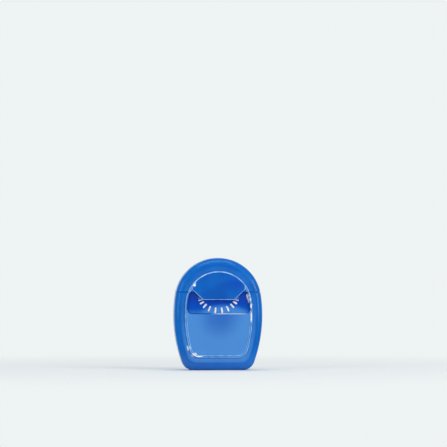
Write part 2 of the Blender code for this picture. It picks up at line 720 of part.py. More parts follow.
def turn_points():
    """The outer layer's route: it rises out of the pack, winds round it and leaves straight."""
    leave = lead_angle()
    first_y = SPOOL_MIDDLE_Y - LOOP_COUNT * TURN_PITCH / 2
    points = []
    for i in range(LOOP_COUNT * LOOP_POINTS + 1):
        turned = i / LOOP_POINTS
        angle = leave + 2 * math.pi * (LOOP_COUNT - turned)
        sunk = STRAND * max(0, 1 - 4 * turned)
        out = Vector((math.cos(angle), 0, math.sin(angle))) * (TURN_RADIUS - sunk)
        points.append(out + Vector((0, first_y + turned * TURN_PITCH, SPOOL_LEVEL)))
    points.append(points[-1] + Vector((math.sin(leave), 0, -math.cos(leave))) * STRAND)
    return points


def least_turn_gap(points):
    """Least distance between strands of neighbouring loops."""
    apart = LOOP_POINTS // 2
    nearest = min(
        (points[i] - points[j]).length
        for i in range(len(points))
        for j in range(i + apart, len(points))
    )
    return nearest - STRAND


def floss_winding():
    half = PACK_WIDTH / 2
    inner = HUB_RADIUS + PACK_SIDE_GAP
    profile = [
        (inner, SPOOL_MIDDLE_Y - half),
        (PACK_RADIUS, SPOOL_MIDDLE_Y - half),
        (PACK_RADIUS, SPOOL_MIDDLE_Y + half),
        (inner, SPOOL_MIDDLE_Y + half),
    ]
    winding = turned_ring("floss_winding", (0, 0, SPOOL_LEVEL), profile, SPOOL_STEPS)
    points = turn_points()
    print(f"least gap between turns {least_turn_gap(points) / MM:.2f} mm")
    join(winding, strand("turns", points))
    return winding


def smooth_route(knots, count):
    """Points of a Catmull-Rom curve through the knots."""
    knots = [2 * knots[0] - knots[1], *knots, 2 * knots[-1] - knots[-2]]
    points = [knots[1]]
    for before, start, end, after in zip(knots, knots[1:], knots[2:], knots[3:]):
        for t in spread(0, 1, count)[1:]:
            points.append(
                (
                    2 * start
                    + (end - before) * t
                    + (2 * before - 5 * start + 4 * end - after) * t**2
                    + (3 * start - before - 3 * end + after) * t**3
                )
                / 2
            )
    return points


def floss_lead():
    """The strand from the winding, up through the guide and under the cutter's tooth."""
    leave = lead_angle()
    last_y = SPOOL_MIDDLE_Y + LOOP_COUNT * TURN_PITCH / 2
    start = Vector((LEAD_RADIUS * math.cos(leave), last_y, 0))
    start.z = SPOOL_LEVEL + LEAD_RADIUS * math.sin(leave)
    guide = Vector((GUIDE_PLACE, SPOOL_MIDDLE_Y, DECK_LOW))
    over = CUTTER_TOP + STRAND
    left = CUTTER_PLACE - CUTTER_WIDTH / 2
    right = CUTTER_PLACE + CUTTER_WIDTH / 2
    knots = [
        start,
        (start + guide) / 2,
        guide,
        Vector((GUIDE_PLACE, SPOOL_MIDDLE_Y, GUIDE_TOP - GUIDE_LIP)),
        Vector((GUIDE_PLACE + STRAND * 2, SPOOL_MIDDLE_Y, GUIDE_TOP + STRAND * 2)),
        Vector(((GUIDE_PLACE + left) / 2, SPOOL_MIDDLE_Y, GUIDE_TOP + STRAND * 2)),
        Vector((left, SPOOL_MIDDLE_Y, over)),
        Vector((right, SPOOL_MIDDLE_Y, over)),
        Vector((right + STRAND * 2, SPOOL_MIDDLE_Y, over)),
    ]
    return strand("floss_lead", smooth_route(knots, ROUTE_STEPS))


def deck_insert():
    half_width = Arch(WALL + DECK_GAP, 0).half_width(DECK_TOP)
    outline = []
    for x_side, y, start in (
        (1, DECK_FRONT_Y + DECK_CORNER, -1),
        (1, DECK_BACK_Y - DECK_CORNER, 0),
        (-1, DECK_BACK_Y - DECK_CORNER, 1),
        (-1, DECK_FRONT_Y + DECK_CORNER, 2),
    ):
        centre = (x_side * (half_width - DECK_CORNER), y)
        turn = start * math.pi / 2
        outline += arc(centre, DECK_CORNER, turn, turn + math.pi / 2, CORNER_STEPS)
    deck = loft("deck_insert", [[(x, y, z) for x, y in outline] for z in (DECK_LOW, DECK_TOP)])

    stations = [
        (DECK_TOP - SINK, GUIDE_BASE_RADIUS),
        (DECK_TOP + SINK, GUIDE_BASE_RADIUS),
        (GUIDE_TOP - GUIDE_LIP, GUIDE_TOP_RADIUS),
        (GUIDE_TOP, GUIDE_TOP_RADIUS - GUIDE_LIP),
    ]
    place = (GUIDE_PLACE, SPOOL_MIDDLE_Y, 0)
    join(deck, round_bar("turret", "Z", place, stations, BARREL_STEPS))
    stations = [
        (DECK_LOW - SINK, GUIDE_MOUTH_RADIUS + SINK),
        (DECK_TOP, GUIDE_HOLE_RADIUS),
        (GUIDE_TOP + OVERRUN, GUIDE_HOLE_RADIUS),
    ]
    cut(deck, round_bar("guide_hole", "Z", place, stations, BARREL_STEPS))

    depth = CUTTER_HALF_DEPTH - CUTTER_SHEET - CUTTER_FIT
    low = (CUTTER_PLACE - CUTTER_WIDTH / 2, SPOOL_MIDDLE_Y - depth, DECK_TOP - SINK)
    high = (CUTTER_PLACE + CUTTER_WIDTH / 2, SPOOL_MIDDLE_Y + depth, POST_TOP)
    join(deck, block("cutter_post", low, high))
    return deck


def cutter_blade():
    left = CUTTER_PLACE - CUTTER_WIDTH / 2
    right = CUTTER_PLACE + CUTTER_WIDTH / 2
    half = CUTTER_HALF_DEPTH
    legs_low = CUTTER_TOP - CUTTER_LEG
    inner = half - CUTTER_SHEET
    under = CUTTER_TOP - CUTTER_SHEET
    profile = [
        (SPOOL_MIDDLE_Y - half, legs_low),
        (SPOOL_MIDDLE_Y - inner, legs_low),
        (SPOOL_MIDDLE_Y - inner, under),
        (SPOOL_MIDDLE_Y + inner, under),
        (SPOOL_MIDDLE_Y + inner, legs_low),
        (SPOOL_MIDDLE_Y + half, legs_low),
        (SPOOL_MIDDLE_Y + half, CUTTER_TOP),
        (SPOOL_MIDDLE_Y - half, CUTTER_TOP),
    ]
    blade = side_prism("cutter_blade", profile, left, right)

    root_y = SPOOL_MIDDLE_Y + TOOTH_LENGTH / 2
    tip_y = SPOOL_MIDDLE_Y - TOOTH_LENGTH / 2
    window = TOOTH_WIDTH / 2 + WINDOW_MARGIN
    low = (CUTTER_PLACE - window, tip_y, under - SINK)
    high = (CUTTER_PLACE + window, root_y, CUTTER_TOP + SINK)
    cut(blade, block("window", low, high))

    rings = []
    root = Vector((CUTTER_PLACE, root_y + CUTTER_SHEET / 2, under))
    along = Vector((0, -math.cos(TOOTH_ANGLE), math.sin(TOOTH_ANGLE)))
    normal = Vector((0, math.sin(TOOTH_ANGLE), math.cos(TOOTH_ANGLE)))
    places = ((0, TOOTH_WIDTH), (TOOTH_STRAIGHT_SHARE, TOOTH_WIDTH), (1, TOOTH_TIP_WIDTH))
    for place_share, width in places:
        middle = root + along * TOOTH_LENGTH * place_share
        side = Vector((width / 2, 0, 0))
        thick = normal * CUTTER_SHEET
        rings.append([middle - side, middle + side, middle + side + thick, middle - side + thick])
    join(blade, loft("tooth", rings))
    return blade


def make_material(name, colour, roughness, metallic):
    material = bpy.data.materials.new(name)
    material.use_nodes = True
    shader = material.node_tree.nodes["Principled BSDF"]
    shader.inputs["Base Color"].default_value = (*colour, 1)
    shader.inputs["Roughness"].default_value = roughness
    shader.inputs["Metallic"].default_value = metallic
    material.diffuse_color = (*colour, 1)
    return material


def finish(solid, material, origin=(0, 0, 0)):
    """Gives a solid its material, its shading and its own origin."""
    origin = Vector(origin)
    for corner in solid.data.vertices:
        corner.co -= origin
    solid.location = origin
    solid.data.materials.clear()
    solid.data.materials.append(material)
    solid.data.shade_smooth()
    solid.data.set_sharp_from_angle(angle=SHARP_ANGLE)


def main():
    for left_over in list(bpy.data.objects):
        bpy.data.objects.remove(left_over)

    blue = make_material("glossy blue polypropylene", (0.0, 0.11, 0.51), 0.2, 0)
    natural = make_material("natural polypropylene", (0.82, 0.84, 0.82), 0.4, 0)
    steel = make_material("nickel-plated steel", (0.62, 0.62, 0.6), 0.25, 1)
    waxed = make_material("waxed white floss", (0.86, 0.88, 0.85), 0.55, 0)

    finish(front_shell(), blue)
    finish(back_shell(), blue)
    finish(lid(), blue, (0, HINGE_Y, LID_LEVEL))
    finish(deck_insert(), natural)
    finish(cutter_blade(), steel)
    finish(floss_lead(), waxed)
    spool = spool_core()
    finish(spool, natural, (0, SPOOL_MIDDLE_Y, SPOOL_LEVEL))
    winding = floss_winding()
    finish(winding, waxed, (0, SPOOL_MIDDLE_Y, SPOOL_LEVEL))
    bpy.context.view_layer.update()
    winding.parent = spool
    winding.matrix_parent_inverse = spool.matrix_world.inverted()


main()
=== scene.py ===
"""Looks of the flip-top floss dispenser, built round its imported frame.

Metres, +Z up, the front facing -Y. The case's shells, the lid and the small pieces inside are
modelled again with finer edges in the places that the frame gives them.
"""

import json
from functools import partial
from math import acos, atan2, cos, hypot, pi, radians, sin, sqrt

import bmesh
import bpy
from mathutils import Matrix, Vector


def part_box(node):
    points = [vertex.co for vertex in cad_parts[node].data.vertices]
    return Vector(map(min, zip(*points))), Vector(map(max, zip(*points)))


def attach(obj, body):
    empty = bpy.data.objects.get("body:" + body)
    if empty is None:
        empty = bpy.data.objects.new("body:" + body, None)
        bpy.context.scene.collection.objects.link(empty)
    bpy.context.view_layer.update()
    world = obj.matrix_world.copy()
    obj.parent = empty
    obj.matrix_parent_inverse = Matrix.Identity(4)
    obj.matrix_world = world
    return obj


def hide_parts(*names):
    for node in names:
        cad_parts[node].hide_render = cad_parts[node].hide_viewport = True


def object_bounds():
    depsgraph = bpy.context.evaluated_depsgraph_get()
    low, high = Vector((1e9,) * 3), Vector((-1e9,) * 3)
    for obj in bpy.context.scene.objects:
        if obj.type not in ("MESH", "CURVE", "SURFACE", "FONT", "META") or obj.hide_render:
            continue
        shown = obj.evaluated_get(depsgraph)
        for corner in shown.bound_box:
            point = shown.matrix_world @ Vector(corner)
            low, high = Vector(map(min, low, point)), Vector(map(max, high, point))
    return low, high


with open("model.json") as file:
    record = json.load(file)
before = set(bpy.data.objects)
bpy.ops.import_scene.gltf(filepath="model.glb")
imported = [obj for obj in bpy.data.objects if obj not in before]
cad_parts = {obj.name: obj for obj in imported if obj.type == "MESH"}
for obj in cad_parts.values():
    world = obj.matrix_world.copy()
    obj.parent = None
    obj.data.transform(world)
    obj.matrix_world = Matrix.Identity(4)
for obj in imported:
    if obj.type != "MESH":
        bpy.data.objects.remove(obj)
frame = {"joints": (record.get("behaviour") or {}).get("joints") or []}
CAD_LOW, CAD_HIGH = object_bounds()

MM = 0.001
QUARTER = pi / 2
SCENE = bpy.context.scene
JOINTS = {joint["name"]: joint for joint in frame["joints"]}

# Places and sizes that the frame gives
CASE_WIDTH = CAD_HIGH.x - CAD_LOW.x
CASE_HEIGHT = CAD_HIGH.z
FRONT_Y, BACK_Y = CAD_LOW.y, CAD_HIGH.y
TAB_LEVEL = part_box("lid")[0].z
HINGE_Y, LID_LEVEL = JOINTS["lid_hinge"]["pos_m"][1:]
SPOOL_Y, SPOOL_LEVEL = JOINTS["spool_spin"]["pos_m"][1:]
SPOOL_LOW, SPOOL_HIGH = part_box("spool_core")
FLANGE_RADIUS = (SPOOL_HIGH.z - SPOOL_LOW.z) / 2
DECK_LOWER, DECK_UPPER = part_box("deck_insert")
CUTTER_LOWER, CUTTER_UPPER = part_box("cutter_blade")

# How far cutters run past what they cut, and how far joined shapes overlap
OVERRUN = 5.0 * MM
SINK = 0.4 * MM
SAME_PLACE = 0.001 * MM

# Case: an arch seen from the front, with bowed sides and a round top
BASE_WIDTH = 27.16 * MM
WIDEST_LEVEL = LID_LEVEL - 9.6 * MM
SIDE_BOW = (CASE_WIDTH - BASE_WIDTH) / 2
SIDE_RADIUS = (WIDEST_LEVEL**2 + SIDE_BOW**2) / (2 * SIDE_BOW)
CORNER_RADIUS = 4.9 * MM
BACK_ROUND = 2.5 * MM
WALL = 1.2 * MM
SHOULDER_DEPTH = 3.0 * MM
SHOULDER_SIDE = 4.1 * MM
SHOULDER_TOP = 5.2 * MM
SHOULDER_BOTTOM = 5.0 * MM
RIM_CORNER = 4.3 * MM

# Rim and panel
PLATE_PROUD = 0.25 * MM
RIM_RISE = 0.8 * MM
RIM_DRAFT = 0.2 * MM
RIM_EDGE = 0.4 * MM
RIM_FLAT = 0.3 * MM
PANEL_DROP = 0.3 * MM
RIM_Y = FRONT_Y + PLATE_PROUD
PANEL_Y = RIM_Y + PANEL_DROP
FOOT_Y = RIM_Y + RIM_RISE
SHOULDER_Y = FOOT_Y + SHOULDER_DEPTH
RIM_WIDTH = RIM_DRAFT + RIM_EDGE + RIM_FLAT + PANEL_DROP

# Parting lines, whose edges are broken by a small chamfer
PARTING_GAP = 0.14 * MM
LID_LOW = LID_LEVEL + PARTING_GAP / 2
SHELL_TOP = LID_LEVEL - PARTING_GAP / 2
SEAM_GAP = 0.2 * MM
LIP_HEIGHT = 0.8 * MM
LIP_GAP = 0.2 * MM
EDGE_BREAK = 0.14 * MM

# Plate on the lid, and the thumb tab
PLATE_INSET = 0.45 * MM
PLATE_SIDE_INSET = 1.2 * MM
PLATE_CORNER_LEVEL = LID_LEVEL + 1.2 * MM
PLATE_CORNER_DROP = 1.3 * MM
PLATE_EDGE = 0.3 * MM
TAB_HALF_WIDTH = 6.5 * MM
TAB_BACK_Y = FRONT_Y + 1.1 * MM

# Thumb scoop
SCOOP_LEVEL = LID_LEVEL - 8.8 * MM
SCOOP_CORNER = 2.0 * MM
SCOOP_EDGE = 0.32 * MM
SCOOP_INSET = 0.05 * MM
SCOOP_FOOT_Y = PANEL_Y + 0.4 * MM
SCOOP_TOP_Y = PANEL_Y + 1.65 * MM
POCKET_Y = SCOOP_TOP_Y + WALL
POCKET_INSET = 0.15 * MM
CATCH_LEVEL = LID_LEVEL - 1.5 * MM
CATCH_RADIUS = 0.45 * MM
CATCH_LENGTH = 6.0 * MM
HOOK_RADIUS = 0.35 * MM
HOOK_LEVEL = TAB_LEVEL + 0.5 * MM

# Hinge
BARREL_RADIUS = 1.3 * MM
BARREL_SET_IN = BACK_Y - HINGE_Y - BARREL_RADIUS
STOP_GAP = 0.15 * MM
HINGE_SEAT_RADIUS = BARREL_RADIUS + BARREL_SET_IN + STOP_GAP + 0.05 * MM
KNUCKLE_WIDTH = 8.0 * MM
KNUCKLE_END_GAP = 0.2 * MM
PIN_RADIUS = 0.66 * MM
BORE_RADIUS = 0.75 * MM
PIN_LENGTH = 2.8 * MM
OPEN_ANGLE = radians(JOINTS["lid_hinge"]["range_deg"][1])

# Inside the shells: bosses with pins, ledges under the deck, and the spool's post
INNER_BACK_Y = BACK_Y - WALL
BOSS_RADIUS = 1.5 * MM
BOSS_WALL_GAP = 0.6 * MM
BOSS_LEVELS = (6.0 * MM, LID_LEVEL - 6.6 * MM)
BOSS_ROOT_Y = FOOT_Y + WALL / 4 + SINK
BOSS_PIN_RADIUS = 0.9 * MM
BOSS_SOCKET_RADIUS = 1.01 * MM
BOSS_PIN_LENGTH = 3.0 * MM
LEDGE_HEIGHT = 1.2 * MM
LEDGE_REACH = 1.8 * MM
LEDGE_DEPTH = 2.2 * MM
LEDGE_TOP = DECK_LOWER.z - 0.3 * MM
LEDGE_SHIFT = 1.0 * MM
POST_RADIUS = 2.1 * MM
POST_CHAMFER = 0.4 * MM
POST_TIP_Y = SPOOL_LOW.y - 1.2 * MM
COLLAR_WIDTH = 1.3 * MM
COLLAR_Y = INNER_BACK_Y - 0.3 * MM
SOCKET_RADIUS = POST_RADIUS + 0.25 * MM
SOCKET_TOP_Y = POCKET_Y - 0.1 * MM

# Spool and floss
FLOSS_RADIUS = 0.25 * MM
FLOSS_LAY = 1.3 * MM
FILAMENTS_ROUND = 7
HUB_RADIUS = 4.6 * MM
PACK_RADIUS = FLANGE_RADIUS - 2.5 * MM
FLANGE_THICKNESS = 0.8 * MM
SPOOL_BORE_RADIUS = 2.2 * MM
PACK_HALF_WIDTH = (SPOOL_HIGH.y - SPOOL_LOW.y) / 2 - FLANGE_THICKNESS - 0.3 * MM
TURN_PITCH = 0.95 * MM
LOOP_COUNT = int((2 * PACK_HALF_WIDTH - 2 * FLOSS_RADIUS) / TURN_PITCH)
LEAD_ASIDE = LOOP_COUNT * TURN_PITCH / 2
LEAD_RADIUS = PACK_RADIUS + 3 * FLOSS_RADIUS + 0.25 * MM

# Deck, guide and cutter
DECK_TOP = LID_LEVEL - 1.9 * MM
DECK_CORNER = 1.4 * MM
DECK_EDGE = 0.25 * MM
GUIDE_PLACE = -5.2 * MM
GUIDE_TOP = DECK_TOP + 3.0 * MM
GUIDE_BASE_RADIUS = 2.0 * MM
GUIDE_TOP_RADIUS = 1.5 * MM
GUIDE_SKIRT = 0.3 * MM
GUIDE_LIP = 0.35 * MM
GUIDE_HOLE_RADIUS = 0.6 * MM
GUIDE_MOUTH_RADIUS = 1.1 * MM
CUTTER_SHEET = 0.3 * MM
CUTTER_FIT = 0.15 * MM
CUTTER_BEND = 0.12 * MM
POST_TOP = DECK_TOP + 2.4 * MM
CUTTER_PLATE = POST_TOP + CUTTER_FIT + CUTTER_SHEET
CUTTER_HALF_DEPTH = (CUTTER_UPPER.y - CUTTER_LOWER.y) / 2
TOOTH_LENGTH = 2 * (CUTTER_HALF_DEPTH - 0.75 * MM)
TOOTH_WIDTH = 1.8 * MM
TOOTH_ANGLE = radians(50)
TOOTH_SHARES = ((0, 1), (0.45, 1), (0.75, 0.62), (1, 0.12))
WINDOW_MARGIN = 0.35 * MM

# Facets of the fine surfaces
CORNER_STEPS = 14
SIDE_STEPS = 22
TOP_STEPS = 38
ROUND_STEPS = 14
EDGE_STEPS = 6
SCOOP_STEPS = 20
BAR_STEPS = 40
TURN_STEPS = 96
ROUTE_STEPS = 14
SHARP_ANGLE = radians(50)
MAIN_CHOICES = ("operation", "interpolation_type", "data_type")

# Blue plastic: its tones with painted shade and sheen, the painted highlight on the rim and
# the plate's edge, and how ragged its painted glints are
BLUE_DEEP = "#0056B6"
BLUE_LIGHT = "#0068C8"
# Painted highlights: pale edges, white glints, and pale glints on the ribs' crests
EDGE_HIGHLIGHT_BLUE = "#A8D8FC"
GLINT_WHITE = "#F6FAFF"
RIB_GLINT_TONE = "#F0F6FF"
# Painted sheen on curved surfaces
CURVED_SHEEN_TONE = "#0A72CB"
CURVED_SHEEN_SHARE = 0.6
# Painted shade in the scoop, on the ribs there, and on a patch of the plate
SHADE_BLUE = "#0048BE"
SCOOP_HALF_WIDTH = 13.0 * MM
# Painted sheen on the panel, low in the scoop, on the rim's crest and at the rim's foot
SHEEN_BLUE = "#4B94DD"
# How strongly the rim's and the plate's edges are painted pale, as highlights
RIM_HIGHLIGHT_SHARE = 0.85
PLATE_HIGHLIGHT_SHARE = 0.95
RAGGED_REACH = 1.6 * MM
# Levels over which the glints painted on the ribs grow to full
RIB_GLINT_LEVELS = (LID_LEVEL - 2.2 * MM, LID_LEVEL - 4.4 * MM)
RESIN_IOR = 1.49
BLUE_RESIN = {"Subsurface_Weight": 0.12, "Subsurface_Radius": (0.1, 0.5, 1.0)}

# Patches of painted shade, sheen, highlights and glints on the case's front, in mm: across,
# above the lid's level, and how far they reach
PANEL_SHADE = (0.4, -10.3, 11.5, 11.0)
PLATE_SHADE = (6.6, 3.4, 6.5, 4.2)
SCOOP_SHEEN = (2.4, -9.2, 11.5, 4.6)
LIP_HIGHLIGHT = (4.6, -8.8, 9.0, 2.0)
# Painted glints: white spots on a few corners and along the rim
PAINTED_GLINTS = (
    (-10.1, 3.1, 0.9, 1.2),
    (12.1, -1.9, 0.7, 1.5),
    (12.7, -3.5, 0.7, 1.4),
    (13.5, -5.7, 0.6, 1.2),
    (13.5, -10.4, 0.5, 2.6),
    (-12.3, -23.0, 0.8, 1.4),
    (-10.2, -25.8, 1.4, 1.0),
    (-8.2, -26.5, 1.9, 0.7),
)

# Room and camera; PIXEL is the photograph's, where it shows the case
BACKDROP_TONE = "#EEF3F3"
ROOM_TONE = "#B9BCBE"
DIM_SIDE_TONE = "#3C4C60"
PAPER_FADES = (70 * MM, 260 * MM)
PAPER_DIMS = (10 * MM, 50 * MM)
FLOOR_REACH = 3.0
PHOTO_PIXELS = 447
PIXEL = 0.4124 * MM
CASE_AT_PIXEL = (217.8, 313.9)
SENSOR = 36.0
CAMERA_AWAY = 2000 * MM
CAMERA_LEFT = 130 * MM
BACKDROP_ROOM = 10.0


def spread(first, last, count):
    """count + 1 evenly spaced values from first to last."""
    return [first + (last - first) * i / count for i in range(count + 1)]


def arc(centre, radius, start, end, count):
    """Points of an arc in a plane, both ends included."""
    x, y = centre
    return [(x + radius * cos(at), y + radius * sin(at)) for at in spread(start, end, count)]


def edge_round(radius):
    """(distance out, depth) down a rounded edge, from its side to its top."""
    return [(radius * cos(at), radius * (1 - sin(at))) for at in spread(0, QUARTER, EDGE_STEPS)]


def mirrored(half):
    """A whole outline from its right half, which starts and ends at or near the middle."""
    return half + [(-across, up) for across, up in reversed(half) if across > SAME_PLACE]


def shown(name, data):
    """A new object of the scene with this data."""
    made = bpy.data.objects.new(name, data)
    SCENE.collection.objects.link(made)
    return made


def loft(rings, closed=False, name="tool"):
    """A solid through rings of as many points each, capped, or joined end to end if closed."""
    mesh = bmesh.new()
    rows = [[mesh.verts.new(point) for point in ring] for ring in rings]
    following_rows = rows[1:] + rows[:1] if closed else rows[1:]
    for row, following in zip(rows, following_rows):
        for i, corner in enumerate(row):
            j = (i + 1) % len(row)
            mesh.faces.new((corner, row[j], following[j], following[i]))
    if not closed:
        mesh.faces.new(rows[0])
        mesh.faces.new(rows[-1])
    bmesh.ops.recalc_face_normals(mesh, faces=mesh.faces)
    data = bpy.data.meshes.new(name)
    mesh.to_mesh(data)
    mesh.free()
    return shown(name, data)


def stacked(axis, stations, **more):
    """Flat outlines, each with its place on the axis across them, joined into a solid."""
    at = "XYZ".index(axis)
    rings = [[(*p[:at], place, *p[at:]) for p in outline] for outline, place in stations]
    return loft(rings, **more)


def prism(axis, outline, start, end, **more):
    return stacked(axis, [(outline, start), (outline, end)], **more)


def turned(axis, centre, *profile, steps=BAR_STEPS, **more):
    """A turned solid along an axis through centre, from a (place, radius) for each ring."""
    along = Vector([float(axis == letter) for letter in "XYZ"])
    first = Vector((along.y + along.z, along.x, 0))
    second = along.cross(first)
    rings = []
    for place, radius in profile:
        middle = Vector(centre) + along * place
        turns = arc((0, 0), radius, 0, 2 * pi, steps)[:-1]
        rings.append([middle + first * x + second * y for x, y in turns])
    return loft(rings, **more)


def plain_mesh(source):
    """What an object's modifiers make of it, as a mesh of its own."""
    bpy.context.view_layer.update()
    graph = bpy.context.evaluated_depsgraph_get()
    return bpy.data.meshes.new_from_object(
        source.evaluated_get(graph), preserve_all_data_layers=True, depsgraph=graph
    )


def combine(target, other, operation):
    """Applies one Boolean to target and removes the other solid."""
    step = target.modifiers.new(operation, "BOOLEAN")
    step.operation = operation
    step.solver = "MANIFOLD"
    step.object = other
    result = plain_mesh(target)
    target.modifiers.remove(step)
    target.data = result
    bpy.data.objects.remove(other)


def join(target, *others):
    for other in others:
        combine(target, other, "UNION")


def cut(target, *others):
    for other in others:
        combine(target, other, "DIFFERENCE")


def keep_inside(target, other):
    combine(target, other, "INTERSECT")


class Arch:
    """One ring of the case seen from the front, at an inset and a share of the shoulder."""

    def __init__(self, inset, share):
        self.low = inset + share * SHOULDER_BOTTOM
        high = CASE_HEIGHT - inset - share * SHOULDER_TOP
        corner = (1 - share) * CORNER_RADIUS + share * RIM_CORNER - inset
        side = SIDE_RADIUS - (inset + share * SHOULDER_SIDE)
        side_x = CASE_WIDTH / 2 - SIDE_RADIUS
        rise = high - WIDEST_LEVEL
        top = (side**2 - rise**2 - side_x**2) / (2 * (side - rise))
        top_z = high - top
        corner_z = self.low + corner
        corner_x = side_x + sqrt((side - corner) ** 2 - (WIDEST_LEVEL - corner_z) ** 2)
        side_start = atan2(corner_z - WIDEST_LEVEL, corner_x - side_x)
        side_end = atan2(top_z - WIDEST_LEVEL, -side_x)
        self.corner = ((corner_x, corner_z), corner, -QUARTER, side_start, CORNER_STEPS)
        self.side = ((side_x, WIDEST_LEVEL), side, side_start, side_end, SIDE_STEPS)
        self.top = ((0, top_z), top, side_end, QUARTER, TOP_STEPS)

    def outline(self):
        sides = arc(*self.corner) + arc(*self.side)[1:] + arc(*self.top)[1:]
        return mirrored([(0, self.low), *sides])

    def half_width(self, level):
        """Half the arch's width at a level above its corners."""
        (x, z), radius, _, end, _ = self.side
        if level > z + radius * sin(end):
            (x, z), radius, *_ = self.top
        return x + sqrt(radius**2 - (level - z) ** 2)


def case_stations(offset):
    """(inset, share of the shoulder, y) of the case's rings, back to front, offset inwards."""
    rows = []
    for angle in spread(0, QUARTER, ROUND_STEPS):
        inset = offset + (BACK_ROUND - offset) * (1 - sin(angle))
        rows.append((inset, 0, BACK_Y - BACK_ROUND + (BACK_ROUND - offset) * cos(angle)))
    for angle in spread(0, QUARTER, ROUND_STEPS):
        y = SHOULDER_Y - (SHOULDER_DEPTH - offset) * sin(angle)
        rows.append((offset * cos(angle), 1 - cos(angle), y))
    return rows


def lofted_case(rows, **more):
    rings = [(Arch(inset, share).outline(), y) for inset, share, y in rows]
    return stacked("Y", rings, **more)


def rim_stations():
    """The outer side of the rim, up to its crest."""
    return [(RIM_DRAFT + RIM_EDGE - out, 1, RIM_Y + y) for out, y in edge_round(RIM_EDGE)]


def panel_stations():
    """The inner side of the rim, down to the sunk panel, with a line that keeps the panel flat."""
    drop = reversed(edge_round(PANEL_DROP))
    rows = [(RIM_WIDTH - PANEL_DROP + out, 1, RIM_Y + y) for out, y in drop]
    return rows + [(RIM_WIDTH + EDGE_BREAK, 1, PANEL_Y)]


def case_wall(name):
    """The case as one hollow wall, before it is parted into shells and lid."""
    wall = lofted_case(case_stations(0) + rim_stations() + panel_stations(), name=name)
    cut(wall, lofted_case(case_stations(WALL) + [(RIM_WIDTH, 1, PANEL_Y + WALL)]))
    return wall


def level_section(inset):
    """The case's own outline at the lid's level, seen from above, moved in by inset."""
    rows = case_stations(0) + rim_stations()
    half = [(Arch(ring_inset, share).half_width(LID_LEVEL), y) for ring_inset, share, y in rows]
    outline = half + [(-x, y) for x, y in reversed(half)]
    moved = []
    for i, point in enumerate(outline):
        before, after = Vector(outline[i - 1]), Vector(outline[(i + 1) % len(outline)])
        outwards = (after - before).orthogonal().normalized()
        moved.append(Vector(point) - outwards * inset)
    return moved


def half_space(level, up):
    """Everything above or below a level parting line, whose outer edge is broken."""
    section = level_section(-EDGE_BREAK)
    wide = [point * 2 for point in section]
    outlines = (level_section(EDGE_BREAK), section, wide, wide)
    rises = (0, 2 * EDGE_BREAK, 3 * EDGE_BREAK, 2 * CASE_HEIGHT)
    return stacked("Z", [(line, level + up * rise) for line, rise in zip(outlines, rises)])


def seam_side(seam_y, towards):
    """Everything in front of or behind the seam round the case, whose outer edge is broken."""
    flared, far = seam_y + towards * (EDGE_BREAK + OVERRUN), seam_y + towards * CASE_HEIGHT
    return lofted_case([(EDGE_BREAK, 0, seam_y), (-OVERRUN, 0, flared), (-OVERRUN, 0, far)])


def scoop_y(level):
    """Depth of the scoop's hollow floor at a level."""
    share = min((level - SCOOP_LEVEL) / (LID_LEVEL - SCOOP_LEVEL), 1)
    return SCOOP_FOOT_Y + (SCOOP_TOP_Y - SCOOP_FOOT_Y) * sin(share * QUARTER)


def scoop_outline(arch, low, corner, high):
    """Seen from the front: a straight lower edge, round corners, and sides along the arch."""
    corner_x = arch.half_width(low + corner) - corner
    half = arc((corner_x, low + corner), corner, -QUARTER, 0, CORNER_STEPS)
    levels = spread(low + corner, LID_LEVEL, SCOOP_STEPS)[1:]
    half += [(arch.half_width(level), level) for level in levels]
    half.append((arch.half_width(LID_LEVEL), high))
    return mirrored(half)


def scoop_cutter():
    """The scoop's hollow, whose edge is rounded where it meets the panel."""
    places = [(0, POCKET_Y)]
    places += [(SCOOP_EDGE - out, PANEL_Y + SCOOP_EDGE - y) for out, y in edge_round(SCOOP_EDGE)]
    places.append((SCOOP_EDGE, FRONT_Y - OVERRUN))
    stations = []
    for flare, y in places:
        arch, high = Arch(RIM_WIDTH + SCOOP_INSET - flare, 1), LID_LEVEL + OVERRUN
        stations.append((scoop_outline(arch, SCOOP_LEVEL - flare, SCOOP_CORNER + flare, high), y))
    cutter = stacked("Y", stations)
    low, high, far = SCOOP_LEVEL - OVERRUN, LID_LEVEL + 2 * OVERRUN, FRONT_Y - 2 * OVERRUN
    levels = spread(SCOOP_LEVEL, LID_LEVEL, SCOOP_STEPS)
    floor = [(SCOOP_FOOT_Y, low), *((scoop_y(level), level) for level in levels)]
    floor += [(SCOOP_TOP_Y, high), (far, high), (far, low)]
    keep_inside(cutter, prism("X", floor, -CASE_WIDTH, CASE_WIDTH))
    return cutter


def round_bead(y, level, radius):
    """A short bar along X with rounded ends."""
    half = CATCH_LENGTH / 2
    ends = [(half - radius + out, radius - depth) for depth, out in reversed(edge_round(radius))]
    profile = [(-place, size) for place, size in reversed(ends)] + ends
    profile = [(place, max(size, SAME_PLACE)) for place, size in profile]
    return turned("X", (0, y, level), *profile)


def boss_places():
    """(x, z) of the four bosses, clear of the side walls."""
    inner = Arch(WALL, 0)
    for level in BOSS_LEVELS:
        across = inner.half_width(level) - BOSS_WALL_GAP - BOSS_RADIUS
        yield -across, level
        yield across, level


def ledges(middle_y):
    """Two shelves under the deck, one on each side wall."""
    low = LEDGE_TOP - LEDGE_HEIGHT
    wall_x = Arch(WALL / 2, 0).half_width(LEDGE_TOP)
    inner_x = Arch(WALL, 0).half_width(LEDGE_TOP) - LEDGE_REACH
    near, far = middle_y - LEDGE_DEPTH / 2, middle_y + LEDGE_DEPTH / 2
    outline = [(near, low), (far, low), (far, LEDGE_TOP), (near, LEDGE_TOP)]
    return [prism("X", outline, *sorted((side * inner_x, side * wall_x))) for side in (-1, 1)]


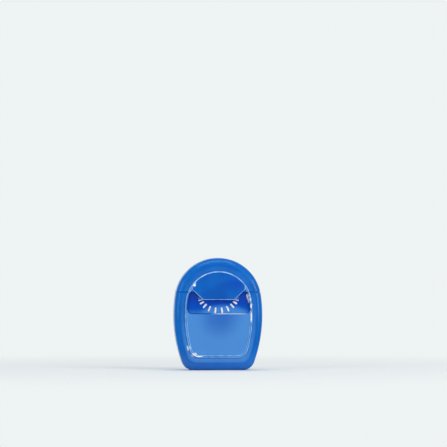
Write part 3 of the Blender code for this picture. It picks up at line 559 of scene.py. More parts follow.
def front_shell():
    """The front half of the case, with its scoop and the bead that holds the lid."""
    shell = case_wall("case_front")
    region = seam_side(-SEAM_GAP / 2, -1)
    lip = Arch((WALL + LIP_GAP) / 2, 0).outline()
    join(region, prism("Y", lip, -SEAM_GAP - SINK, LIP_HEIGHT))
    keep_inside(shell, region)
    arch = Arch(POCKET_INSET, 1)
    pocket = scoop_outline(arch, SCOOP_LEVEL - WALL, SCOOP_CORNER, LID_LEVEL + OVERRUN)
    join(shell, prism("Y", pocket, FOOT_Y + SINK, POCKET_Y))
    keep_inside(shell, half_space(SHELL_TOP, -1))
    cut(shell, scoop_cutter())
    join(shell, round_bead(scoop_y(CATCH_LEVEL), CATCH_LEVEL, CATCH_RADIUS))
    tip = BOSS_PIN_LENGTH - BOSS_PIN_RADIUS / 2
    for x, z in boss_places():
        join(shell, turned("Y", (x, 0, z), (BOSS_ROOT_Y, BOSS_RADIUS), (-SEAM_GAP, BOSS_RADIUS)))
        pin = [(-SEAM_GAP - SINK, BOSS_PIN_RADIUS), (tip, BOSS_PIN_RADIUS)]
        join(shell, turned("Y", (x, 0, z), *pin, (BOSS_PIN_LENGTH, BOSS_PIN_RADIUS / 2)))
    join(shell, *ledges(SHOULDER_Y / 2))
    floor_y, outer = PANEL_Y + WALL - SINK, SOCKET_RADIUS + COLLAR_WIDTH
    socket = [(floor_y, SOCKET_RADIUS), (SOCKET_TOP_Y, SOCKET_RADIUS)]
    socket += [(SOCKET_TOP_Y, outer), (floor_y, outer)]
    join(shell, turned("Y", (0, 0, SPOOL_LEVEL), *socket, closed=True))
    return shell


def hinge_bar(left, right, radius):
    return turned("X", (0, HINGE_Y, LID_LEVEL), (left, radius), (right, radius))


def swung_open(out, rise):
    """(y, z) on the open lid of a point given beside and above the hinge."""
    y = HINGE_Y + out * cos(OPEN_ANGLE) + rise * sin(OPEN_ANGLE)
    return y, LID_LEVEL + rise * cos(OPEN_ANGLE) - out * sin(OPEN_ANGLE)


def knuckle_slot(left, right):
    """Room for a knuckle in the back wall: round at the front, open at the back."""
    seat = HINGE_SEAT_RADIUS
    outline = arc((HINGE_Y, LID_LEVEL), seat, QUARTER, 3 * QUARTER, BAR_STEPS)
    outline += [(BACK_Y + OVERRUN, LID_LEVEL - seat), (BACK_Y + OVERRUN, LID_LEVEL + seat)]
    return prism("X", outline, left, right)


def lid_slot(left, right):
    """A knuckle's seat whose lower side slopes back, where the open lid comes to rest."""
    seat = HINGE_SEAT_RADIUS
    face = BACK_Y - HINGE_Y + STOP_GAP
    rise = sqrt(seat**2 - face**2)
    last = 2 * pi + atan2(rise, face) - OPEN_ANGLE
    outline = arc((HINGE_Y, LID_LEVEL), seat, QUARTER, last, BAR_STEPS)
    outline.append(swung_open(face, 2 * OVERRUN))
    outline.append((outline[-1][0], LID_LEVEL + seat))
    return prism("X", outline, left, right)


def knuckle_relief(left, right):
    """Where the back wall of the open lid lies below the shell's own knuckle."""
    face = BACK_Y - HINGE_Y + 2 * STOP_GAP
    low, high = BARREL_RADIUS, BARREL_RADIUS + OVERRUN
    corners = ((0, low), (face, low), (face, high), (0, high))
    outline = [swung_open(out, rise) for out, rise in corners]
    return prism("X", outline, left, right)


def back_shell():
    """The back half of the case, with the middle knuckle of the hinge."""
    shell = case_wall("case_back")
    region = seam_side(SEAM_GAP / 2, 1)
    rebate = Arch((WALL - LIP_GAP) / 2, 0).outline()
    cut(region, prism("Y", rebate, -SINK, LIP_HEIGHT + LIP_GAP))
    keep_inside(shell, region)
    keep_inside(shell, half_space(SHELL_TOP, -1))
    half = KNUCKLE_WIDTH / 2
    far = CASE_WIDTH / 2 + OVERRUN
    join(shell, hinge_bar(-half - SINK, half + SINK, BARREL_RADIUS))
    cut(shell, knuckle_relief(-far, far))
    cut(shell, lid_slot(-far, -half), lid_slot(half, far))
    cut(shell, hinge_bar(-half - OVERRUN, half + OVERRUN, BORE_RADIUS))
    for x, z in boss_places():
        rows = [(SEAM_GAP / 2, BOSS_RADIUS), (INNER_BACK_Y + SINK, BOSS_RADIUS)]
        boss = turned("Y", (x, 0, z), *rows)
        hole = [(-SINK, BOSS_SOCKET_RADIUS), (BOSS_PIN_LENGTH + SINK, BOSS_SOCKET_RADIUS)]
        cut(boss, turned("Y", (x, 0, z), *hole))
        join(shell, boss)
    join(shell, *ledges((LIP_HEIGHT + LIP_GAP + INNER_BACK_Y) / 2 - LEDGE_SHIFT))
    centre, collar = (0, 0, SPOOL_LEVEL), POST_RADIUS + COLLAR_WIDTH
    join(shell, turned("Y", centre, (COLLAR_Y, collar), (INNER_BACK_Y + SINK, collar)))
    tip = [(POST_TIP_Y, POST_RADIUS - POST_CHAMFER), (POST_TIP_Y + POST_CHAMFER, POST_RADIUS)]
    join(shell, turned("Y", centre, *tip, (COLLAR_Y + SINK / 2, POST_RADIUS)))
    return shell


def plate_outline(inset):
    """The D seen from the front: a level tab edge, slanting sides and the arch's own round top."""
    arch = Arch(PLATE_INSET + inset, 1)
    corner_x = Arch(PLATE_SIDE_INSET + inset, 1).half_width(PLATE_CORNER_LEVEL)
    centre, radius, *_ = arch.top
    drop = PLATE_CORNER_DROP / 2
    half = [(TAB_HALF_WIDTH - inset, TAB_LEVEL + inset)]
    half += [(corner_x - drop, PLATE_CORNER_LEVEL - drop), (corner_x, PLATE_CORNER_LEVEL)]
    half += arc(centre, radius, acos(corner_x / radius), QUARTER, TOP_STEPS)
    return mirrored(half)


def lid():
    """The flip lid, with its plate, tab, hook and the outer knuckles of the hinge."""
    cover = case_wall("flip_lid")
    keep_inside(cover, half_space(LID_LOW, 1))
    rows = [(0, TAB_BACK_Y)]
    rows += [(PLATE_EDGE - out, FRONT_Y + y) for out, y in edge_round(PLATE_EDGE)]
    join(cover, stacked("Y", [(plate_outline(inset), y) for inset, y in rows]))
    join(cover, round_bead(TAB_BACK_Y, HOOK_LEVEL, HOOK_RADIUS))
    far = CASE_WIDTH / 2 + OVERRUN
    half = KNUCKLE_WIDTH / 2 + KNUCKLE_END_GAP
    barrel = hinge_bar(-far, far, BARREL_RADIUS)
    keep_inside(barrel, lofted_case(case_stations(BARREL_SET_IN)))
    join(cover, barrel)
    cut(cover, knuckle_slot(-half, half))
    for side in (-1, 1):
        ends = sorted((side * (half + SINK), side * (half + KNUCKLE_END_GAP - PIN_LENGTH)))
        join(cover, hinge_bar(*ends, PIN_RADIUS))
    return cover


def without_slivers(solid):
    """Closes up the sliver faces that Booleans leave where two cuts run a hair apart."""
    mesh = bmesh.new()
    mesh.from_mesh(solid.data)
    bmesh.ops.remove_doubles(mesh, verts=mesh.verts, dist=2 * SAME_PLACE)
    bmesh.ops.dissolve_degenerate(mesh, edges=mesh.edges, dist=SAME_PLACE)
    bmesh.ops.triangulate(mesh, faces=[face for face in mesh.faces if len(face.verts) > 4])
    mesh.to_mesh(solid.data)
    mesh.free()
    return solid


def finished(solid, body, slot, material, *nodes):
    """Shades a solid, gives it its material and sets it on its body in place of CAD nodes."""
    solid.data.shade_smooth()
    solid.data.set_sharp_from_angle(angle=SHARP_ANGLE)
    step = solid.modifiers.new("flat faces stay flat", "WEIGHTED_NORMAL")
    step.keep_sharp = True
    step.weight = 100
    data = plain_mesh(solid)
    solid.modifiers.remove(step)
    solid.data = data
    data.materials.clear()
    data.materials.append(material)
    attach(solid, body)
    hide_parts(*nodes)
    return solid


def feed(tree, node, *first, **named):
    """Feeds a node's first sockets, and those whose capitalised names are given.

    Each is fed with a value, a colour's code, a socket or another node. Lower-case names are
    settings.
    """
    for key in [key for key in named if key.islower()]:
        setattr(node, key, named.pop(key))
    for key, value in (*enumerate(first), *named.items()):
        if isinstance(key, int):
            socket = node.inputs[key]
        else:
            socket = next(s for s in node.inputs if s.name == key.replace("_", " ") and s.enabled)
        if isinstance(value, str) and value.startswith("#"):
            value = colour(value)
        elif isinstance(value, bpy.types.Node):
            value = next(s for s in value.outputs if s.enabled)
        if isinstance(value, bpy.types.NodeSocket):
            tree.links.new(value, socket)
        else:
            socket.default_value = value
    return node


def add(tree, kind, *first, **named):
    """Adds a node with what feeds it. Its kind may be followed by its main choice."""
    kind, *choices = kind.split()
    kinds = ("ShaderNode" + kind, "GeometryNode" + kind, "Node" + kind)
    node = tree.nodes.new(next(name for name in kinds if hasattr(bpy.types, name)))
    for choice in choices:
        setattr(node, next(name for name in MAIN_CHOICES if hasattr(node, name)), choice)
    return feed(tree, node, *first, **named)


def colour(code):
    """Linear colour from an sRGB hex value."""
    shares = [int(code[i : i + 2], 16) / 255 for i in (1, 3, 5)]
    linear = [s / 12.92 if s <= 0.04045 else ((s + 0.055) / 1.055) ** 2.4 for s in shares]
    return (*linear, 1)


def new_material(name):
    """A material, what adds a node to it, and what feeds its shader."""
    material = bpy.data.materials.new(name)
    material.use_nodes = True
    tree = material.node_tree
    return material, partial(add, tree), partial(feed, tree, tree.nodes["Principled BSDF"])


def patch(node, spot, place, core=0.0):
    """1 on the front within core shares of a patch's reach, fading to 0 at its edge."""
    x, z, wide, high = (size * MM for size in place)
    middle = (-x / wide, 0, -(LID_LEVEL + z) / high)
    shares = node("Mapping", spot, Location=middle, Scale=(1 / wide, 0, 1 / high))
    away = node("VectorMath LENGTH", shares)
    return node("MapRange SMOOTHSTEP", away, 1.0, core)


def moulded_polypropylene():
    """Injection-moulded blue polypropylene.

    Polished steel moulds leave a high gloss with a faint orange peel, the dyed resin lets a
    little light in, and its flow through the mould leaves soft clouds of lighter blue. Curved
    surfaces are painted paler as a sheen, edges paler and whiter as highlights, and a band at the
    rim's foot paler as a sheen; the scoop and a patch on the plate are painted darker as shade.
    The front panel is satin, from a spark-eroded mould, and is painted with a pale sheen that
    gives way to painted shade below the scoop. White glints are painted on a few corners and
    along the rim, and a highlight is painted along the scoop's lower edge and low in the scoop.
    """
    material, node, shader = new_material("gloss_moulded_polypropylene")
    place = node("TexCoord").outputs
    spot = place["Object"]
    x, y, z = node("SeparateXYZ", spot).outputs
    facing = node("SeparateXYZ", place["Normal"]).outputs["Y"]
    frontal = node("Math ABSOLUTE", facing)
    aside = node("Math ABSOLUTE", x)

    # The shares of each tone, from where each starts to where it is full
    scoop_levels = (SCOOP_LEVEL + 1 * MM, SCOOP_LEVEL + 5 * MM)
    shares = {
        "curved": node("MapRange SMOOTHSTEP", frontal, 0.995, 0.9, 0.0, CURVED_SHEEN_SHARE),
        "turned_away": node("MapRange SMOOTHSTEP", frontal, 0.998, 0.93),
        "front_side": node("MapRange", facing, -0.9, -0.97),
        "low_down": node("MapRange SMOOTHSTEP", z, LID_LEVEL, 5 * MM, 0.2, 0.9),
        "deep_scoop": node("MapRange SMOOTHSTEP", z, *scoop_levels, 0.5, 1.0),
        "plate_deep": patch(node, spot, PLATE_SHADE),
        "scoop_haze": patch(node, spot, SCOOP_SHEEN, 0.55),
        "lip_light": patch(node, spot, LIP_HIGHLIGHT, 0.5),
    }
    for label, value, level, start, full in (
        ("crest", y, RIM_Y, 0.36, 0.12),
        ("plate", y, RIM_Y, 0, -0.02),
        ("off_plate", y, RIM_Y, -0.02, 0),
        ("foot", y, FOOT_Y, 0.3, 0),
        ("far_forward", y, SCOOP_TOP_Y, 0.2, 0),
        ("behind_crest", y, RIM_Y, 0.45, 0.55),
        ("below_lid", z, LID_LEVEL, 0, -0.05),
        ("in_scoop_up", z, SCOOP_LEVEL, -0.15, -0.05),
        ("in_scoop_aside", aside, SCOOP_HALF_WIDTH, 0.05, 0),
        ("in_scoop_back", y, SCOOP_TOP_Y, 0.2, 0.1),
        ("in_scoop_front", y, PANEL_Y, 0.28, 0.32),
        ("before_lip", y, PANEL_Y, 0.36, 0.3),
        ("behind_panel", y, PANEL_Y, 0, 0.05),
        ("lip_level", z, SCOOP_LEVEL, 0.1, 0.02),
    ):
        shares[label] = node("MapRange", value, level + start * MM, level + full * MM)
    sparkle = node("TexNoise", spot, Scale=1 / (2.2 * MM), Detail=2.0)
    shares["sparkle"] = node("MapRange", sparkle, 0.35, 0.6, 0.5)
    shares["glow"] = node("MapRange", shares["plate"], 0.0, 1.0, RIM_HIGHLIGHT_SHARE, PLATE_HIGHLIGHT_SHARE)
    on_panel = node("Math COMPARE", y, PANEL_Y, 0.02 * MM)
    shares["panel"] = node("Math MULTIPLY", on_panel, shares["below_lid"])
    # where the panel's painted sheen gives way to painted shade under the scoop
    clear = patch(node, spot, PANEL_SHADE, 0.1)
    shares["panel_haze"] = node("MapRange", clear, 0.0, 1.0, 0.85, 0.04)
    ragged = node("TexNoise", spot, Scale=1 / (0.8 * MM), Detail=2.0).outputs["Color"]
    wobble = node("VectorMath SUBTRACT", ragged, (0.5, 0.5, 0.5))
    wobbled = node("VectorMath MULTIPLY_ADD", wobble, (RAGGED_REACH,) * 3, spot)
    # white glints painted on a few corners and along the rim, with ragged edges
    whitened = 0.0
    for mark in PAINTED_GLINTS:
        whitened = node("Math MAXIMUM", patch(node, wobbled, mark, 0.5), whitened)
    shares["whitened"] = whitened
    flow = node("TexNoise", spot, Scale=1 / (11 * MM), Detail=1.5, Distortion=0.5)
    shares["cloud"] = node("MapRange SMOOTHSTEP", flow, 0.3, 0.7)

    scoop = ("in_scoop_up", "in_scoop_aside", "in_scoop_back", "in_scoop_front", "below_lid")
    tone = BLUE_DEEP
    for over, share, *labels in (
        (BLUE_LIGHT, 1.0, "cloud"),
        # painted sheen: curved surfaces paler
        (CURVED_SHEEN_TONE, 1.0, "curved"),
        # painted shade: a darker patch on the plate
        (SHADE_BLUE, 0.75, "plate_deep", "plate"),
        # painted shade in the scoop, under the tab
        (SHADE_BLUE, 1.0, "deep_scoop", *scoop),
        # painted highlight: a pale sheen low in the scoop
        (SHEEN_BLUE, 0.8, "scoop_haze", *scoop),
        # painted sheen: a pale band at the rim's foot, low down
        (SHEEN_BLUE, 1.0, "foot", "low_down", "front_side", "behind_crest"),
        # painted highlight: the rim's crest paler
        (SHEEN_BLUE, 0.7, "crest", "off_plate", "front_side"),
        # painted highlight: pale edges on the rim and the plate, broken up by noise
        (EDGE_HIGHLIGHT_BLUE, 1.0, "turned_away", "crest", "glow", "sparkle"),
        # painted sheen on the panel, fading to painted shade under the scoop
        (SHEEN_BLUE, 1.0, "panel_haze", "panel"),
        # painted highlight along the scoop's lower edge
        (GLINT_WHITE, 0.9, "lip_light", "lip_level", "behind_panel", "before_lip"),
        # painted glints: white spots on corners and along the rim
        (GLINT_WHITE, 1.0, "whitened", "front_side", "far_forward"),
    ):
        for label in labels:
            share = node("Math MULTIPLY", share, shares[label])
        tone = node("Mix RGBA", Factor=share, A=tone, B=over)

    drawn_out = node("Mapping", spot, Rotation=(0.3, 0.9, 0.2), Scale=(1, 1, 5))
    scuffs = node("TexNoise", drawn_out, Scale=1 / (7 * MM), Detail=3.0)
    gloss = node("MapRange", scuffs, 0.35, 0.75, 0.14, 0.22)
    roughness = node("Mix", Factor=shares["panel"], A=gloss, B=0.42)
    peel = node("TexNoise", spot, Scale=1 / (3.2 * MM), Detail=0.5)
    skin = node("Bump", Height=peel, Strength=0.05, Distance=0.02 * MM)
    grain = node("TexNoise", spot, Scale=1 / (0.22 * MM), Detail=2.0)
    sparked = node("Math MULTIPLY", shares["panel"], 0.25)
    normal = node("Bump", Height=grain, Strength=sparked, Distance=0.02 * MM, Normal=skin)
    shader(Base_Color=tone, Roughness=roughness, Normal=normal, IOR=RESIN_IOR)
    shader(**BLUE_RESIN, Subsurface_Scale=0.9 * MM)
    return material


def rubbed_rib_polypropylene():
    """Blue plastic for the grip ribs, in painted shade with pale glints painted on the crests."""
    material, node, shader = new_material("rubbed_rib_polypropylene")
    place = node("TexCoord").outputs
    facing = node("SeparateXYZ", place["Normal"]).outputs["Y"]
    level = node("SeparateXYZ", place["Object"]).outputs["Z"]
    # Pale glints are painted on the crests that face forward, broken up by noise and weakest near
    # the lid
    glint_noise = node("TexNoise", place["Object"], Scale=1 / (1.5 * MM), Detail=2.0)
    uneven = node("MapRange", glint_noise, 0.3, 0.6, 0.75)
    glint_reach = node("MapRange SMOOTHSTEP", level, *RIB_GLINT_LEVELS, 0.1)
    share = node("MapRange SMOOTHSTEP", facing, -0.1, -0.5)
    share = node("Math MULTIPLY", node("Math MULTIPLY", share, uneven), glint_reach)
    tone = node("Mix RGBA", Factor=share, A=SHADE_BLUE, B=RIB_GLINT_TONE)
    gloss = node("MapRange", glint_noise, 0.0, 1.0, 0.12, 0.3)
    shader(Base_Color=tone, Roughness=gloss, IOR=RESIN_IOR)
    shader(**BLUE_RESIN, Subsurface_Scale=0.5 * MM)
    return material


def natural_polypropylene():
    """Undyed polypropylene of the deck and the spool: milky, satin, light soaks into it."""
    material, node, shader = new_material("natural_polypropylene")
    place = node("TexCoord").outputs["Object"]
    flow = node("TexNoise", place, Scale=1 / (5 * MM), Detail=3.0)
    body = node("Mix RGBA", Factor=flow, A="#DDE2DE", B="#EEF1EC")
    grain = node("TexNoise", place, Scale=1 / (0.25 * MM), Detail=2.0)
    satin = node("MapRange", grain, 0.3, 0.7, 0.3, 0.46)
    skin = node("Bump", Height=grain, Strength=0.2, Distance=0.02 * MM)
    shader(Base_Color=body, Roughness=satin, Normal=skin, IOR=RESIN_IOR)
    shader(Subsurface_Weight=0.3, Subsurface_Radius=(1.0, 0.9, 0.8), Subsurface_Scale=0.8 * MM)
    return material


def nickel_plated_steel():
    """Stamped spring steel with bright nickel plating: fine rolling lines run along the strip."""
    material, node, shader = new_material("nickel_plated_steel")
    place = node("TexCoord").outputs["Object"]
    along = node("Mapping", place, Scale=(1, 30, 30))
    lines = node("TexNoise", along, Scale=1 / (4 * MM), Detail=3.0)
    body = node("Mix RGBA", Factor=lines, A="#B9BAB6", B="#D6D6D1")
    rolled = node("MapRange", lines, 0.3, 0.7, 0.26, 0.44)
    skin = node("Bump", Height=lines, Strength=0.1, Distance=0.01 * MM)
    shader(Base_Color=body, Roughness=rolled, Normal=skin, Metallic=1.0)
    return material


def waxed_floss():
    """Waxed multifilament nylon: many white filaments under a soft, slightly yellow wax."""
    material, node, shader = new_material("waxed_floss")
    along = node("Attribute", attribute_name="along").outputs["Fac"]
    around = node("Attribute", attribute_name="around").outputs["Fac"]
    strands = node("Math MULTIPLY", around, FILAMENTS_ROUND)
    phase = node("Math ADD", node("Math MULTIPLY", along, 1 / FLOSS_LAY), strands)
    wave = node("Math SINE", node("Math MULTIPLY", phase, 2 * pi))
    ridge = node("MapRange", wave, -1.0, 1.0)
    # The grooves between the filaments are painted darker, as shade
    body = node("Mix RGBA", Factor=ridge, A="#D3D8D0", B="#F4F5EE")
    skin = node("Bump", Height=ridge, Strength=0.5, Distance=0.03 * MM)
    shader(Base_Color=body, Roughness=0.48, Normal=skin, Coat_Weight=0.3, Coat_Roughness=0.35)
    shader(Subsurface_Weight=0.2, Subsurface_Radius=(1.0, 1.0, 0.9), Subsurface_Scale=0.3 * MM)
    return material


def new_tree(name, sizes):
    """A geometry tree with its sizes as named inputs, and what adds a node to it."""
    tree = bpy.data.node_groups.new(name, "GeometryNodeTree")
    kinds = {label: type(value).__name__.title() for label, value in sizes.items()}
    for label, kind in {"Geometry": "Geometry", **kinds}.items():
        tree.interface.new_socket(label, in_out="INPUT", socket_type="NodeSocket" + kind)
    tree.interface.new_socket("Geometry", in_out="OUTPUT", socket_type="NodeSocketGeometry")
    return tree, partial(add, tree), tree.nodes.new("NodeGroupInput").outputs


def grown(tree, made, size, source, sizes):
    """Ends a tree and gives the plain mesh object that it makes of a source's data."""
    real = add(tree, "RealizeInstances", made)
    smooth = add(tree, "SetShadeSmooth", real)
    painted = add(tree, "SetMaterial", smooth, Material=size["Material"])
    add(tree, "GroupOutput", painted)
    carrier = shown("source", source)
    step = carrier.modifiers.new(tree.name, "NODES")
    step.node_group = tree
    for item in tree.interface.items_tree:
        if item.in_out == "INPUT" and item.name in sizes:
            step[item.identifier] = sizes[item.name]
    data = plain_mesh(carrier)
    carrier.modifiers.remove(step)
    bpy.data.objects.remove(carrier)
    data.name = tree.name
    return shown(tree.name, data)


def rib_fan(material):
    """The fan of grip ribs that follows the scoop's hollow floor, closer together at its sides."""
    sizes = {
        "Count": 12,
        "Points": 24,
        "First angle": radians(-175),
        "Last angle": radians(-5),
        "Bunching": 0.55,
        "Centre level": LID_LEVEL - 1.8 * MM,
        "Outer wide": 8.6 * MM,
        "Outer high": LID_LEVEL - 1.7 * MM - SCOOP_LEVEL,
        "Length wide": 2.0 * MM,
        "Length high": 2.5 * MM,
        "Rib radius": 0.42 * MM,
        "Rise": 0.02 * MM,
        "End sharpness": 7.0,
        "Tip narrowing": -0.94,
        "Material": material,
    }
    tree, node, size = new_tree("grip_ribs", sizes)
    fine = node("ResampleCurve", Curve=node("CurvePrimitiveLine"), Count=size["Points"])
    copies = node("DuplicateElements", fine, Amount=size["Count"], domain="SPLINE")
    last = node("Math SUBTRACT", size["Count"], 1.0)
    share = node("Math DIVIDE", copies.outputs["Duplicate Index"], last)
    across = node("Math MULTIPLY_ADD", share, 2.0, -1.0)
    eased = node("Math SINE", node("Math MULTIPLY", across, QUARTER))
    spaced = node("Mix", Factor=size["Bunching"], A=across, B=eased)
    angle = node("MapRange", spaced, -1.0, 1.0, size["First angle"], size["Last angle"])
    place = node("SplineParameter").outputs["Factor"]
    back = node("Math SUBTRACT", 1.0, place)
    reach = []
    for turn, way in (("COSINE", "wide"), ("SINE", "high")):
        along = node("Math MULTIPLY", back, size["Length " + way])
        radius = node("Math SUBTRACT", size["Outer " + way], along)
        reach.append(node("Math MULTIPLY", radius, node("Math " + turn, angle)))
    level = node("Math ADD", reach[1], size["Centre level"])
    above = node("Math SUBTRACT", level, SCOOP_LEVEL)
    height = node("Math DIVIDE", above, LID_LEVEL - SCOOP_LEVEL, use_clamp=True)
    bow = node("Math SINE", node("Math MULTIPLY", height, QUARTER))
    depth = node("Math MULTIPLY_ADD", bow, SCOOP_TOP_Y - SCOOP_FOOT_Y, SCOOP_FOOT_Y)
    from_middle = node("Math ABSOLUTE", node("Math MULTIPLY_ADD", place, 2.0, -1.0))
    end = node("Math POWER", from_middle, size["End sharpness"])
    rise = node("Math MULTIPLY", node("Math SUBTRACT", 1.0, end), size["Rise"])
    front = node("Math SUBTRACT", depth, rise)
    laid = node("SetPosition", copies, Position=node("CombineXYZ", reach[0], front, level))
    taper = node("Math SQRT", node("Math MULTIPLY_ADD", end, size["Tip narrowing"], 1.0))
    section = node("CurvePrimitiveCircle", Resolution=16, Radius=size["Rib radius"])
    ribs = node("CurveToMesh", laid, section, Scale=taper, Fill_Caps=True)
    return grown(tree, ribs, size, bpy.data.meshes.new("ribs"), sizes)


def noted(node, curve, label, measure):
    """A curve that notes how far along it each of its points lies."""
    run = node("SplineParameter").outputs[measure]
    return node("StoreNamedAttribute", curve, Name=label, Value=run)


def wound_floss(material):
    """Floss wound on the spool: passes to and fro, each a little above the one under it."""
    sizes = {
        "Turns": 52.0,
        "Passes": 5.0,
        "Points": 52 * 44,
        "Low radius": PACK_RADIUS - 0.12 * MM,
        "High radius": PACK_RADIUS + 0.13 * MM,
        "Half width": PACK_HALF_WIDTH - 0.3 * MM,
        "Strand radius": FLOSS_RADIUS,
        "Wander": 0.18 * MM,
        "Wander rate": 0.7,
        "Core radius": (PACK_RADIUS + HUB_RADIUS + 0.3 * MM) / 2,
        "Core thickness": PACK_RADIUS - HUB_RADIUS - 0.3 * MM,
        "Material": material,
    }
    tree, node, size = new_tree("wound_floss", sizes)
    fine = node("ResampleCurve", Curve=node("CurvePrimitiveLine"), Count=size["Points"])
    place = node("SplineParameter").outputs["Factor"]
    turned_by = node("Math MULTIPLY", place, size["Turns"])
    angle = node("Math MULTIPLY", turned_by, 2 * pi)
    to_and_fro = node("Math PINGPONG", node("Math MULTIPLY", place, size["Passes"]), 1.0)
    rate = size["Wander rate"]
    drift = node("TexNoise", W=turned_by, Scale=rate, Detail=1.0, noise_dimensions="1D")
    far_left = node("Math MULTIPLY", size["Wander"], -1.0)
    wander = node("MapRange", drift, 0.0, 1.0, far_left, size["Wander"])
    swing = node("Math MULTIPLY_ADD", to_and_fro, 2.0, -1.0)
    across = node("Math MULTIPLY_ADD", swing, size["Half width"], wander)
    radius = node("MapRange", place, 0.0, 1.0, size["Low radius"], size["High radius"])
    first = node("Math MULTIPLY", node("Math COSINE", angle), radius)
    second = node("Math MULTIPLY", node("Math SINE", angle), radius)
    laid = node("SetPosition", fine, Position=node("CombineXYZ", first, across, second))
    section = node("CurvePrimitiveCircle", Resolution=10, Radius=size["Strand radius"])
    route = noted(node, laid, "along", "Length")
    profile = noted(node, section, "around", "Factor")
    strand = node("CurveToMesh", route, profile, Fill_Caps=True)

    ring = node("CurvePrimitiveCircle", Resolution=TURN_STEPS, Radius=size["Core radius"])
    width = node("Math MULTIPLY", size["Half width"], 2.0)
    block = node("CurvePrimitiveQuadrilateral", Width=size["Core thickness"], Height=width)
    core = node("CurveToMesh", ring, block)
    upright = node("Transform", core, Rotation=(QUARTER, 0, 0))
    both = feed(tree, node("JoinGeometry", strand), upright)
    placed = node("Transform", both, Translation=(0, SPOOL_Y, SPOOL_LEVEL))
    return grown(tree, placed, size, bpy.data.meshes.new("winding"), sizes)


def smooth_route(knots, count):
    """Points of a Catmull-Rom curve through the knots."""
    knots = [2 * knots[0] - knots[1], *knots, 2 * knots[-1] - knots[-2]]
    points = [knots[1]]
    for before, start, end, after in zip(knots, knots[1:], knots[2:], knots[3:]):
        square = 2 * before - 5 * start + 4 * end - after
        cube = 3 * start - before - 3 * end + after
        for t in spread(0, 1, count)[1:]:
            points.append((2 * start + (end - before) * t + square * t**2 + cube * t**3) / 2)
    return points


def floss_route():
    """The strand's way from the winding up through the guide and over the cutter."""
    up = DECK_LOWER.z - SPOOL_LEVEL
    leave = atan2(up, GUIDE_PLACE) + acos(LEAD_RADIUS / hypot(GUIDE_PLACE, up))
    start = Vector((LEAD_RADIUS * cos(leave), SPOOL_Y + LEAD_ASIDE, 0))
    start.z = SPOOL_LEVEL + LEAD_RADIUS * sin(leave)
    guide = Vector((GUIDE_PLACE, SPOOL_Y, DECK_LOWER.z))
    over = CUTTER_PLATE + 2 * FLOSS_RADIUS
    left, right = CUTTER_LOWER.x, CUTTER_UPPER.x
    rise = 4 * FLOSS_RADIUS
    knots = [start, (start + guide) / 2, guide]
    for x, z in (
        (GUIDE_PLACE, GUIDE_TOP - GUIDE_LIP),
        (GUIDE_PLACE + rise, GUIDE_TOP + rise),
        ((GUIDE_PLACE + left) / 2, GUIDE_TOP + rise),
        (left, over),
        (right, over),
        (right + rise, over),
    ):
        knots.append(Vector((x, SPOOL_Y, z)))
    return smooth_route(knots, ROUTE_STEPS)


def threaded_floss(material):
    """The strand that waits at the cutter, as twisted yarns laid round one another."""
    sizes = {
        "Yarns": 5,
        "Yarn radius": 0.115 * MM,
        "Yarn ring": 0.13 * MM,
        "Lay": 2.6 * MM,
        "Material": material,
    }
    tree, node, size = new_tree("threaded_floss", sizes)
    run = node("SplineParameter").outputs["Length"]
    tilt = node("Math MULTIPLY", node("Math DIVIDE", run, size["Lay"]), 2 * pi)
    twisted = node("SetCurveTilt", noted(node, size["Geometry"], "along", "Length"), Tilt=tilt)
    ring = node("MeshCircle", Vertices=size["Yarns"], Radius=size["Yarn ring"])
    section = node("CurvePrimitiveCircle", Resolution=10, Radius=size["Yarn radius"])
    profile = noted(node, section, "around", "Factor")
    yarns = node("RealizeInstances", node("InstanceOnPoints", ring, Instance=profile))
    strand = node("CurveToMesh", twisted, yarns, Fill_Caps=True)
    route = bpy.data.curves.new("route", "CURVE")
    route.dimensions = "3D"
    line = route.splines.new("POLY")
    points = floss_route()
    line.points.add(len(points) - 1)
    for corner, point in zip(line.points, points):
        corner.co = (*point, 1)
    return grown(tree, strand, size, route, sizes)


def spool():
    """The bobbin: two flanges with rounded edges and a hub, turned about its bore."""
    front, back = SPOOL_LOW.y, SPOOL_HIGH.y
    edge = FLANGE_THICKNESS / 2
    first, second = (
        arc((middle, FLANGE_RADIUS - edge), edge, pi, 0, 2 * EDGE_STEPS)
        for middle in (front + edge, back - edge)
    )
    bore = SPOOL_BORE_RADIUS
    outline = [(front, bore + EDGE_BREAK), *first, (front + FLANGE_THICKNESS, HUB_RADIUS)]
    outline += [(back - FLANGE_THICKNESS, HUB_RADIUS), *second, (back, bore + EDGE_BREAK)]
    outline += [(back - EDGE_BREAK, bore), (front + EDGE_BREAK, bore)]
    return turned("Y", (0, 0, SPOOL_LEVEL), *outline, steps=TURN_STEPS, closed=True, name="spool")


def round_top(near, far, top, radius):
    """(y, z) from back to front over a bar along X whose two upper edges are rounded."""
    back = arc((far - radius, top - radius), radius, 0, QUARTER, EDGE_STEPS)
    return back + arc((near + radius, top - radius), radius, QUARTER, pi, EDGE_STEPS)


